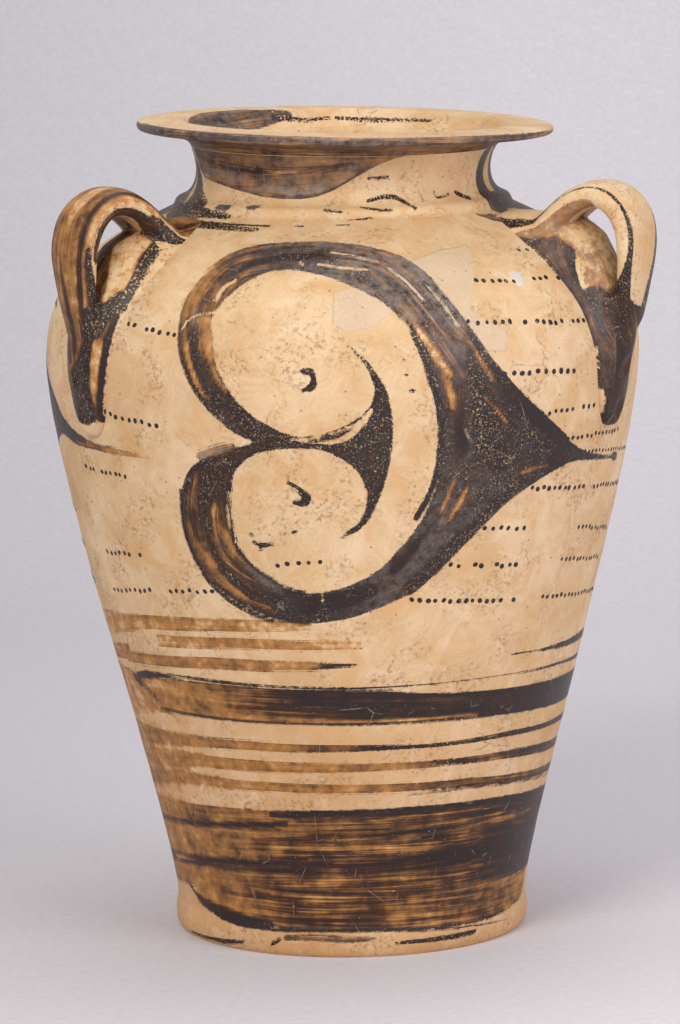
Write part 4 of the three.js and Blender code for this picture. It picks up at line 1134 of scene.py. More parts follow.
def lay_leaf(paint, azimuth, height, turn, rise):
    """Paints one leaf over the paint, turned and raised from the first one's place."""
    angle = (azimuth - turn + 180) % 360 - 180
    height = height - rise
    rows = np.flatnonzero((angle > -45) & (angle < 74) & (height > 140) & (height < 316))
    if not len(rows):
        return
    flat = flat_mm(angle[rows], height[rows])
    gap, along, inside = nearest_on(leaf_line, flat)
    outer = np.where(inside, gap, -gap)
    gap, _, inside = nearest_on(ground_line, flat)
    depth = np.minimum(outer, np.where(inside, -gap, gap))
    dabs = np.array(leaf_dabs)
    away = ((flat[:, None] - flat_mm(dabs[:, 0], dabs[:, 1])) ** 2).sum(2)
    weight = np.exp(-(away - away.min(1, keepdims=True)) / (2 * dab_reach_mm**2))
    load, wear, grey = ((weight @ dabs[:, c]) / weight.sum(1) for c in (2, 3, 4))
    first = turn == 0
    flow = np.stack([along, np.full(len(along), 300.0 + turn), outer], -1)
    lay(paint, rows, depth, (load, wear, grey * first), flow)
    part = {key: value[rows] for key, value in paint.items()}
    lay_strokes(part, flat, rolled_out(leaf_strokes), film=first)
    lay_strokes(part, flat, rolled_out(leaf_bare), bare=True)
    lay_strokes(part, flat, rolled_out(leaf_marks, widen=1.4))
    for key, value in part.items():
        paint[key][rows] = value


collar_radius = 72


def wall_paint(points):
    """Paint of the upper half of the body, at points of the true turned shape."""
    paint = banded(points)
    azimuth = np.degrees(np.arctan2(points[:, 0], -points[:, 1]))
    for turn, rise in leaf_places:
        lay_leaf(paint, azimuth, points[:, 2], turn, rise)
    flat = flat_mm(azimuth, points[:, 2], collar_radius)
    lay_strokes(paint, flat, rolled_out(shoulder_strokes | neck_strokes, collar_radius, 1.6))
    return paint


belly_rows = lower_side[seam_row:]
belly_wall, belly_points, belly_painted = turned_shell(
    "belly_wall_clay", belly_rows, inner_wall(belly_rows, 7.3, 6.5, 22)
)
store_paint(belly_wall, wall_paint(belly_points[:belly_painted]))
belly_wall.data.materials.append(painted_clay)
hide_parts("belly_wall")
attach(belly_wall, "root")

# Shoulder: the domed section that closes in to the neck, built on the belly while the jar stood
# upside down to stiffen. The leaf runs up over it.
shoulder, shoulder_points, shoulder_painted = turned_shell(
    "shoulder_clay", shoulder_side, inner_wall(shoulder_side, 6.5, 6, 18)
)
store_paint(shoulder, wall_paint(shoulder_points[:shoulder_painted]))
shoulder.data.materials.append(painted_clay)
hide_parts("shoulder")
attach(shoulder, "root")

# Shoulder fill and plug: smooth tinted plaster that a restorer spread into two gaps in the
# shoulder, rubbed down flush, and toned with thin grey paint where the leaf crosses it. The small
# round plug was left pale.
fill_lift = 0.12
fill_depth = 1.4
fill_strips = {
    "middle": (
        [
            (-5.5, 276.2), (-3.0, 272.8), (2.1, 274.2), (6.8, 280.9), (12.7, 278.5), (18.0, 268.1),
            (22.7, 263.3),
        ],
        [(-5.5, 288.0), (0.6, 290.6), (12.8, 299.2), (21.2, 302.6), (22.7, 302.7)],
    ),
    "upper wing": ([(21.5, 278.4), (29.3, 302.6)], [(21.5, 302.6), (29.3, 303.0)]),
    "lower wing": (
        [(21.5, 264.6), (23.3, 262.6), (28.4, 261.8), (29.5, 269.2)],
        [(21.5, 281.0), (29.5, 269.7)],
    ),
}
plug_place = (36.6, 290.0)
plug_radius = 3.4
plug_lift = 0.3
plug_rings = 8
plug_columns = 32


def wall_patch(name, strips, column_mm=1.0, row_mm=1.0):
    """Thin slabs that lie flush in the wall, each between a low and a high edge of (degrees,
    height). Returns the piece and its points on the true turned shape."""
    points, faces = [], []
    for low_edge, high_edge in strips:
        low_edge, high_edge = np.array(low_edge, float), np.array(high_edge, float)
        ends = low_edge[0, 0], low_edge[-1, 0]
        middle = (low_edge[:, 1].mean() + high_edge[:, 1].mean()) / 2
        columns = max(3, int(abs(np.radians(ends[1] - ends[0])) * wall_radius(middle) / column_mm))
        azimuth = np.linspace(*ends, columns)
        low = np.interp(azimuth, low_edge[:, 0], low_edge[:, 1])
        high = np.interp(azimuth, high_edge[:, 0], high_edge[:, 1])
        rows = max(3, int(np.max(wall_length(high) - wall_length(low)) / row_mm))
        share = np.linspace(0, 1, rows)[:, None]
        height = low + (high - low) * share
        inner = np.ones((rows, columns))
        inner[[0, -1]] = 0
        inner[:, [0, -1]] = 0
        top = on_wall(np.broadcast_to(azimuth, height.shape), height, fill_lift * (1.2 * inner - 0.2))
        under = on_wall(np.broadcast_to(azimuth, height.shape), height, -fill_depth)
        first = sum(len(p) for p in points)
        points += [top.reshape(-1, 3), under.reshape(-1, 3)]
        grid = first + np.arange(rows * columns).reshape(rows, columns)
        back = grid + rows * columns
        a, b, c, d = grid[:-1, :-1], grid[:-1, 1:], grid[1:, 1:], grid[1:, :-1]
        faces += np.stack([a, b, c, d], -1).reshape(-1, 4).tolist()
        faces += (np.stack([a, d, c, b], -1) + rows * columns).reshape(-1, 4).tolist()
        border = list(grid[0]) + list(grid[1:, -1]) + list(grid[-1, -2::-1]) + list(grid[-2:0:-1, 0])
        behind = list(back[0]) + list(back[1:, -1]) + list(back[-1, -2::-1]) + list(back[-2:0:-1, 0])
        for i in range(len(border)):
            j = (i + 1) % len(border)
            faces.append((border[i], behind[i], behind[j], border[j]))
    points = np.vstack(points)
    return new_mesh(name, settled(points), faces), points


# Tinted plaster: smoother, paler and more even than the clay round it, and quite matt
tinted_plaster = bpy.data.materials.new("tinted restorer's plaster, retouched")
tinted_plaster.use_nodes = True
plaster_tones = ("ccb291", "d2b89b", "d8bfa4")
close_material(tinted_plaster, *slip_nodes(tinted_plaster, *ground_nodes(tinted_plaster, plaster_tones, 0.3)))

shoulder_fill, fill_points = wall_patch("shoulder_fill_plaster", fill_strips.values())
store_paint(shoulder_fill, wall_paint(fill_points))
shoulder_fill.data.materials.append(tinted_plaster)
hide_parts("shoulder_fill")
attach(shoulder_fill, "root")

# Pale plaster: untinted, with only the grain of the plaster and a little dust
pale_plaster = bpy.data.materials.new("untinted restorer's plaster")
pale_plaster.use_nodes = True
close_material(pale_plaster, *ground_nodes(pale_plaster, ("c2b8ac", "cdc4b9", "d8cfc4"), 0.25)[1:])

plug_points = [on_wall(*plug_place, plug_lift), on_wall(*plug_place, -fill_depth)]
mm_per_degree = math.radians(wall_radius(plug_place[1]))
for ring in range(1, plug_rings + 1):
    share = ring / plug_rings
    for column in range(plug_columns):
        turn = 2 * math.pi * column / plug_columns
        uneven = plug_radius * (1 + 0.07 * math.sin(3 * turn + 0.5) + 0.05 * math.sin(5 * turn)) * share
        azimuth = plug_place[0] + uneven * math.cos(turn) / mm_per_degree
        height = plug_place[1] + uneven * math.sin(turn)
        plug_points.append(on_wall(azimuth, height, plug_lift * (1 - share**4) - 0.05))
rim_start = len(plug_points)
for column in range(plug_columns):
    plug_points.append(np.array(plug_points[rim_start - plug_columns + column]) * np.array([0.986, 0.986, 1]))
plug_faces = []
for column in range(plug_columns):
    beside = (column + 1) % plug_columns
    plug_faces.append((0, 2 + column, 2 + beside))
    for ring in range(plug_rings):
        inner = 2 + ring * plug_columns
        outer = inner + plug_columns
        plug_faces.append((inner + column, outer + column, outer + beside, inner + beside))
    plug_faces.append((1, rim_start + beside, rim_start + column))
shoulder_plug = new_mesh("shoulder_plug_plaster", settled(np.array(plug_points)), plug_faces)
shoulder_plug.data.materials.append(pale_plaster)
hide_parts("shoulder_plug")
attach(shoulder_plug, "root")

# Neck: a short concave collar, luted on the shoulder with a small rounded fold. A worn black band
# ran round the fold, and only flakes of it are left in front.
neck_rows = np.vstack([fold_side, neck_side[1:]])
neck, neck_points, neck_painted = turned_shell("neck_clay", neck_rows, inner_wall(neck_side, 7, 7, 14))
store_paint(neck, wall_paint(neck_points[:neck_painted]))
neck.data.materials.append(painted_clay)
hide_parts("neck")
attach(neck, "root")

# Neck fill: a U-shaped gap in the front of the neck, filled with the same tinted plaster and
# painted over by the restorer in streaky brown-grey, so that it meets the lip without a break.
neck_fill_edge_px = [
    (205, 178), (222, 185), (240, 191), (262, 197), (280, 199), (300, 199.5), (318, 197), (335, 190),
    (350, 181), (365, 172), (380, 164), (395, 158),
]
neck_fill_start, neck_fill_end = -80, 19.4
neck_fill_low = [
    (neck_fill_start, 337), (-76, 331), *np.column_stack(seen_at(neck_fill_edge_px)[:2]),
    (neck_fill_end, 339.2),
]
neck_fill_high = [(neck_fill_start, throat_top[1] - 0.2), (neck_fill_end, throat_top[1] - 0.1)]
neck_fill_strokes = {
    "tint": [(-90, 331, 14, 0.54, 0.02, 0.3), (-50, 331, 14, 0.44, 0.02, 0.45),
        (0, 333, 14, 0.4, 0.02, 0.5), (30, 336, 14, 0.38, 0.03, 0.5)],
    # Painted sheen: pale grey streaks laid as grey film over the brown-grey
    "painted sheen, left": [(-72, 331.5, 1.0, 0.46, 0, 0.9), (-55, 329.5, 1.6, 0.42, 0, 1),
        (-42, 328.5, 1.0, 0.44, 0, 0.8)],
    "painted sheen, middle": [(-36, 325.5, 0.8, 0.44, 0, 1), (-20, 325, 1.6, 0.42, 0, 1),
        (-8, 328, 1.0, 0.44, 0, 0.9)],
    "dark streak": [(-66, 335, 1.2, 0.62, 0, 0.2), (-30, 332.5, 1.4, 0.62, 0, 0.2),
        (0, 336, 1.0, 0.6, 0, 0.3)],
    "edge": [(-60, 326.9, 0.6, 0.66, 0, 0.3), (-34, 323.0, 0.6, 0.64, 0, 0.4),
        (-13, 323.4, 0.6, 0.66, 0, 0.3), (4.7, 333.4, 0.5, 0.62, 0, 0.4)],
}
neck_fill, neck_fill_points = wall_patch("neck_fill_plaster", [(neck_fill_low, neck_fill_high)], 0.8, 0.7)
neck_fill_azimuth = np.degrees(np.arctan2(neck_fill_points[:, 0], -neck_fill_points[:, 1]))
neck_fill_paint = no_paint(neck_fill_points)
neck_fill_flat = flat_mm(neck_fill_azimuth, neck_fill_points[:, 2])
lay_strokes(neck_fill_paint, neck_fill_flat, rolled_out(neck_fill_strokes))
store_paint(neck_fill, neck_fill_paint)
neck_fill.data.materials.append(tinted_plaster)
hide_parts("neck_fill")
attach(neck_fill, "root")

# Rim: a flat everted lip, thrown thick and smoothed with a wet hand. Its top is bare and pale,
# and the brown wash of its underside was carried over the edge and is rubbed there.
rim_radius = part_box("rim")[1].x / MM
rim_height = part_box("rim")[1].z / MM
lip_bottom = rim_height - 4.6
underside = curve_points(
    throat_top, (67.6, 343.2), (rim_radius - 10.6, lip_bottom), (rim_radius - 1.8, lip_bottom), 0.9
)
edge = curve_points(
    (rim_radius - 1.8, lip_bottom), (rim_radius + 0.3, lip_bottom + 0.3),
    (rim_radius + 0.5, rim_height - 1.4), (rim_radius - 1.6, rim_height - 0.9), 0.5,
)
land = curve_points(
    (rim_radius - 1.6, rim_height - 0.9), (rim_radius - 5, rim_height - 0.1), (76, rim_height),
    (72, rim_height - 0.2), 1.2,
)
mouth_edge = curve_points(
    (72, rim_height - 0.2), (69.5, rim_height - 0.2), (68.6, rim_height - 2), (67.6, rim_height - 4), 0.6
)
throat = curve_points((67.6, rim_height - 4), (64, 341), (60, 338.5), (58.8, 334), 1.0)
rim_rows = np.vstack([underside, edge[1:], land[1:], mouth_edge[1:], throat[1:]])
rim, rim_points, rim_painted = turned_shell("rim_clay", rim_rows, np.array([(64, 337), (65, 339)])[::-1])

# Places on the rim are degrees, and mm along its profile from the neck out over the lip
lip_gone = np.concatenate([[0], np.cumsum(np.hypot(*np.diff(rim_rows, axis=0).T))])
edge_at = lip_gone[len(underside) - 1]
throat_at = lip_gone[len(rim_rows) - len(throat)]
rim_strokes = {
    "underside": [(-185, 6, 9, 0.6, 0.3, 0.2), (-120, 6, 8, 0.6, 0.3, 0.2), (-90, 6, 8, 0.7, 0.2, 0.2),
        (-60, 6, 8.5, 0.62, 0.1, 0.5), (0, 6, 8.5, 0.55, 0.1, 0.5), (26, 6, 8, 0.5, 0.2, 0.5),
        (60, 6, 7, 0.6, 0.4, 0.3), (110, 6, 8, 0.6, 0.35, 0.2), (185, 6, 9, 0.6, 0.3, 0.2)],
    "edge, lower half": [(-185, edge_at + 0.8, 2.2, 0.34, 0.4, 0.3),
        (-95, edge_at + 1.2, 3.0, 0.5, 0.3, 0.4), (-70, edge_at + 1.4, 4.2, 0.6, 0.2, 0.5),
        (-35, edge_at + 1.8, 4.6, 0.62, 0.18, 0.6), (0, edge_at + 1.5, 4.2, 0.58, 0.2, 0.6),
        (30, edge_at + 1.3, 4.0, 0.54, 0.26, 0.5), (55, edge_at + 1.1, 3.4, 0.56, 0.34, 0.4),
        (90, edge_at + 0.8, 2.4, 0.46, 0.4, 0.3), (185, edge_at + 0.8, 2.2, 0.34, 0.4, 0.3)],
    "dark rub on the edge": [(-60, edge_at + 2.2, 0.9, 0.7, 0.35, 0.4),
        (-42, edge_at + 3.0, 1.3, 0.74, 0.3, 0.4), (-22, edge_at + 2.6, 0.9, 0.66, 0.4, 0.5)],
    "brown patch in the throat": [(-162, throat_at - 1, 2.5, 0.6, 0.4, 0.5),
        (-140, throat_at + 1, 6.5, 0.62, 0.2, 0.6), (-114, throat_at + 2, 6.5, 0.58, 0.2, 0.6),
        (-96, throat_at + 2, 3, 0.5, 0.4, 0.5)],
    "flecks at the back": [(-178, throat_at + 0.6, 1.2, 1, 0.86), (-168, throat_at + 1.4, 1.5, 1, 0.9),
        (-156, throat_at - 0.2, 1.2, 1, 0.86)],
    "flecks at the back, right": [(142, throat_at + 0.6, 1.0, 1, 0.86),
        (164, throat_at + 1.2, 1.5, 1, 0.84), (181, throat_at + 0.6, 1.2, 1, 0.86)],
}
rim_paint = no_paint(rim_points[:rim_painted])
rim_azimuth = np.degrees(np.arctan2(rim_points[:rim_painted, 0], -rim_points[:rim_painted, 1]))
profile = np.repeat(lip_gone, turn_columns)
profile = np.concatenate([
    profile[:turn_columns], profile[:turn_columns], profile[turn_columns:-turn_columns],
    profile[-turn_columns:], profile[-turn_columns:],
])
rim_places = np.stack([np.radians(rim_azimuth) * rim_radius, profile], -1)
for name, stations in rim_strokes.items():
    stations = np.array(stations, float)
    stations[:, 0] = np.radians(stations[:, 0]) * rim_radius
    rim_strokes[name] = stations
lay_strokes(rim_paint, rim_places, rim_strokes)
store_paint(rim, rim_paint)
rim.data.materials.append(painted_clay)
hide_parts("rim")
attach(rim, "root")

# Handles: three flattened straps of clay, one at the back and two towards the front. Each is
# pressed on the shoulder with a broad smeared saddle, bends over in a tight loop for two fingers,
# and runs out down the wall into a thumb-pressed heel. The potter worked it all into one form.
strap_root = (belly_radius - 44, belly_height + 42)
strap_arch = (belly_radius - 10.4, belly_height + 71.2)
strap_elbow = (belly_radius + 5.4, belly_height + 50)
strap_end = (belly_radius - 1.6, belly_height - 9)
arch_x, arch_z = strap_arch
strap_rise = curve_points(strap_root, (93.6, 303.4), (arch_x - 12, arch_z), strap_arch, 0.5)
strap_turn = curve_points(strap_arch, (arch_x + 9, arch_z), (strap_elbow[0], 312), strap_elbow, 0.5)
strap_fall = curve_points(
    strap_elbow, (strap_elbow[0], 280), (strap_end[0] + 0.4, strap_end[1] + 20), strap_end, 0.5
)
strap_path = np.vstack([strap_rise, strap_turn[1:], strap_fall[1:]])
strap_gone = np.concatenate([[0], np.cumsum(np.hypot(*np.diff(strap_path, axis=0).T))])
strap_length = strap_gone[-1]
strap_along = np.gradient(strap_path, axis=0)
strap_along /= np.hypot(*strap_along.T)[:, None]
strap_out = np.stack([-strap_along[:, 1], strap_along[:, 0]], -1)
# Half width and half thickness of the strap, by mm from its root
strap_sizes = np.array([
    (0, 20, 7.5), (10, 18, 6.2), (24, 15.4, 5.2), (44, 15, 5.0), (62, 15.8, 4.7), (76, 15, 4.4),
    (90, 12.4, 4.2), (110, 9, 4.0), (121, 7.4, 3.6), (strap_length, 6.4, 3.2),
])
strap_corner = 3.2
# Half width, lift of the edge and lift of the crest of the smeared clay, by height
smear_sizes = np.array([
    (312, 13, 0.2, 1.5), (306, 18, 0.6, 6), (300, 22, 0.9, 10), (294, 23, 1.1, 12), (287, 22.5, 1.3, 10.5),
    (280, 21, 1.5, 8.6), (272, 19.5, 1.7, 8.5), (262, 17.5, 2.0, 7.5), (252, 16, 2.3, 6), (244, 14.5, 2.4, 5),
    (236, 12.4, 2.4, 4.4), (230, 9.8, 2.4, 4), (225.5, 6.4, 2.0, 3.4), (223.4, 1.5, 0.6, 1.2),
])
# Half width of the web of clay behind the strap and how far it reaches out to it, by height
web_sizes = np.array([
    (283, 12, 0.3), (278, 12, 0.8), (272, 11.5, 1), (262, 10, 1), (250, 8.6, 1), (240, 7, 1),
])
heel_dimple = (231.5, 9.5, 1.6)
strap_dimple = (248.5, 11, 1.2)
# How far each strap was pulled out of line while it was soft
strap_pulled = {"left": 0.0, "right": 4.2, "back": 1.5}
# How much higher the clay is heaped up under each arch
saddle_heaped = {"left": 1.15, "right": 1.45, "back": 1.15}
clay_voxel = 0.85
worn_smooth_rounds = 9


def tube(rings):
    """Points and faces of a closed skin through rings of equal length."""
    count = len(rings[0])
    points = np.vstack(rings)
    faces = []
    for ring in range(len(rings) - 1):
        for i in range(count):
            beside = (i + 1) % count
            low, high = ring * count, (ring + 1) * count
            faces.append((low + i, low + beside, high + beside, high + i))
    faces.append(tuple(range(count))[::-1])
    faces.append(tuple(range((len(rings) - 1) * count, len(rings) * count)))
    return points, faces


def handle_clay(name, azimuth, pulled, heaped):
    """Strap, saddle and heel worked into one skin. Returns the piece and its points."""
    turn = math.radians(azimuth)
    outward = np.array([math.sin(turn), -math.cos(turn), 0])
    sideways = np.array([math.cos(turn), math.sin(turn), 0])
    rings = []
    for i in range(0, len(strap_path), 3):
        half_width, half_thick = (np.interp(strap_gone[i], strap_sizes[:, 0], c) for c in strap_sizes.T[1:])
        ring = []
        for k in range(40):
            angle = 2 * math.pi * k / 40
            c, s = math.cos(angle), math.sin(angle)
            across = half_width * math.copysign(abs(c) ** (2 / strap_corner), c)
            lift = half_thick * math.copysign(abs(s) ** (2 / strap_corner), s)
            lift += 0.12 * half_width * (1 - (across / half_width) ** 2) if s > 0 else 0
            at = strap_path[i] + strap_out[i] * lift
            ring.append(outward * at[0] + sideways * across + np.array([0, 0, at[1]]))
        rings.append(np.array(ring)[::-1])
    skins = [tube(rings)]
    rings = []
    for height in np.arange(smear_sizes[0, 0], smear_sizes[-1, 0], -1.2):
        half_width, edge, crest = (np.interp(-height, -smear_sizes[:, 0], c) for c in smear_sizes.T[1:])
        crest *= 1 + (heaped - 1) * smooth_step(height, 284, 304)
        across = np.linspace(-1, 1, 25)
        lift = edge + (crest - edge) * np.cos(across * math.pi / 2) ** 1.3 - 1.2 * np.abs(across) ** 8
        angle = azimuth + np.degrees(across * half_width / wall_radius(height))
        rings.append(np.vstack([on_wall(angle, height, lift), on_wall(angle[::-1], height, -4.0)]))
    skins.append(tube(rings))
    after_arch = strap_path[np.abs(strap_path[:, 1] - strap_elbow[1]).argmin() :][::-1]
    rings = []
    for height in np.arange(web_sizes[0, 0], web_sizes[-1, 0], -1.2):
        half_width, share = (np.interp(-height, -web_sizes[:, 0], c) for c in web_sizes.T[1:])
        wall = wall_radius(height)
        reach = wall + share * (np.interp(height, after_arch[:, 1], after_arch[:, 0]) - wall)
        across = np.linspace(-half_width, half_width, 13)[:, None]
        outer = outward * reach + sideways * across + np.array([0, 0, height])
        inner = outward * (wall - 3) + sideways * across[::-1] + np.array([0, 0, height])
        rings.append(np.vstack([outer, inner]))
    skins.append(tube(rings))
    points, faces = np.zeros((0, 3)), []
    for skin_points, skin_faces in skins:
        faces += [tuple(i + len(points) for i in face) for face in skin_faces]
        points = np.vstack([points, skin_points])
    piece = new_mesh(name, points, faces)
    bm = bmesh.new()
    bm.from_mesh(piece.data)
    bmesh.ops.recalc_face_normals(bm, faces=bm.faces)
    bm.to_mesh(piece.data)
    bm.free()
    remesh = piece.modifiers.new("worked together", "REMESH")
    remesh.mode = "VOXEL"
    remesh.voxel_size = clay_voxel * MM
    smooth = piece.modifiers.new("wiped smooth", "SMOOTH")
    smooth.factor = 0.5
    smooth.iterations = worn_smooth_rounds
    worked = bpy.data.meshes.new_from_object(piece.evaluated_get(bpy.context.evaluated_depsgraph_get()))
    piece.modifiers.clear()
    piece.data = worked
    points = np.empty(len(worked.vertices) * 3)
    worked.vertices.foreach_get("co", points)
    points = points.reshape(-1, 3) / MM
    for height, radius, depth in (heel_dimple, strap_dimple):
        crest = np.interp(-height, -smear_sizes[:, 0], smear_sizes[:, 3])
        lift = crest if height < strap_end[1] else 5.4
        centre = on_wall(azimuth, height, lift + radius - depth)
        away = points - centre
        gap = np.linalg.norm(away, axis=1)
        pressed = gap < radius
        points[pressed] = centre + away[pressed] / gap[pressed, None] * radius
    over_wall = np.hypot(points[:, 0], points[:, 1]) - wall_radius(points[:, 2])
    share = smooth_step(points[:, 2], strap_end[1] - 2, strap_end[1] + 24) * smooth_step(over_wall, 3, 10)
    pulled_points = points + outward * (pulled * share)[:, None]
    worked.vertices.foreach_set("co", (settled(pulled_points) * MM).ravel())
    worked.shade_smooth()
    return piece, points


def handle_place(points, azimuth):
    """Where points lie on a handle: mm along the strap, round it from the middle of its outer
    face and across it, and how far they belong to the strap."""
    turn = math.radians(azimuth)
    across = points[:, 0] * math.cos(turn) + points[:, 1] * math.sin(turn)
    reach = points[:, 0] * math.sin(turn) - points[:, 1] * math.cos(turn)
    flat = np.stack([reach, points[:, 2]], -1)
    nearest = np.empty(len(points), int)
    for first in range(0, len(points), 20000):
        part = slice(first, first + 20000)
        nearest[part] = ((flat[part, None] - strap_path) ** 2).sum(2).argmin(1)
    lift = ((flat - strap_path[nearest]) * strap_out[nearest]).sum(1)
    half_thick = np.interp(strap_gone[nearest], strap_sizes[:, 0], strap_sizes[:, 2])
    girth = across + np.sign(across) * np.clip(half_thick - lift, 0, None)
    half_width = np.interp(strap_gone[nearest], strap_sizes[:, 0], strap_sizes[:, 1])
    strap_share = smooth_step(lift + half_thick, -2.4, 0.6)
    strap_share *= smooth_step(half_width - np.abs(across), -2.2, 0.2)
    past_end = np.clip(strap_end[1] - points[:, 2], 0, None) * (nearest == len(strap_path) - 1)
    along = strap_gone[nearest] + past_end
    return along, girth, across, strap_share


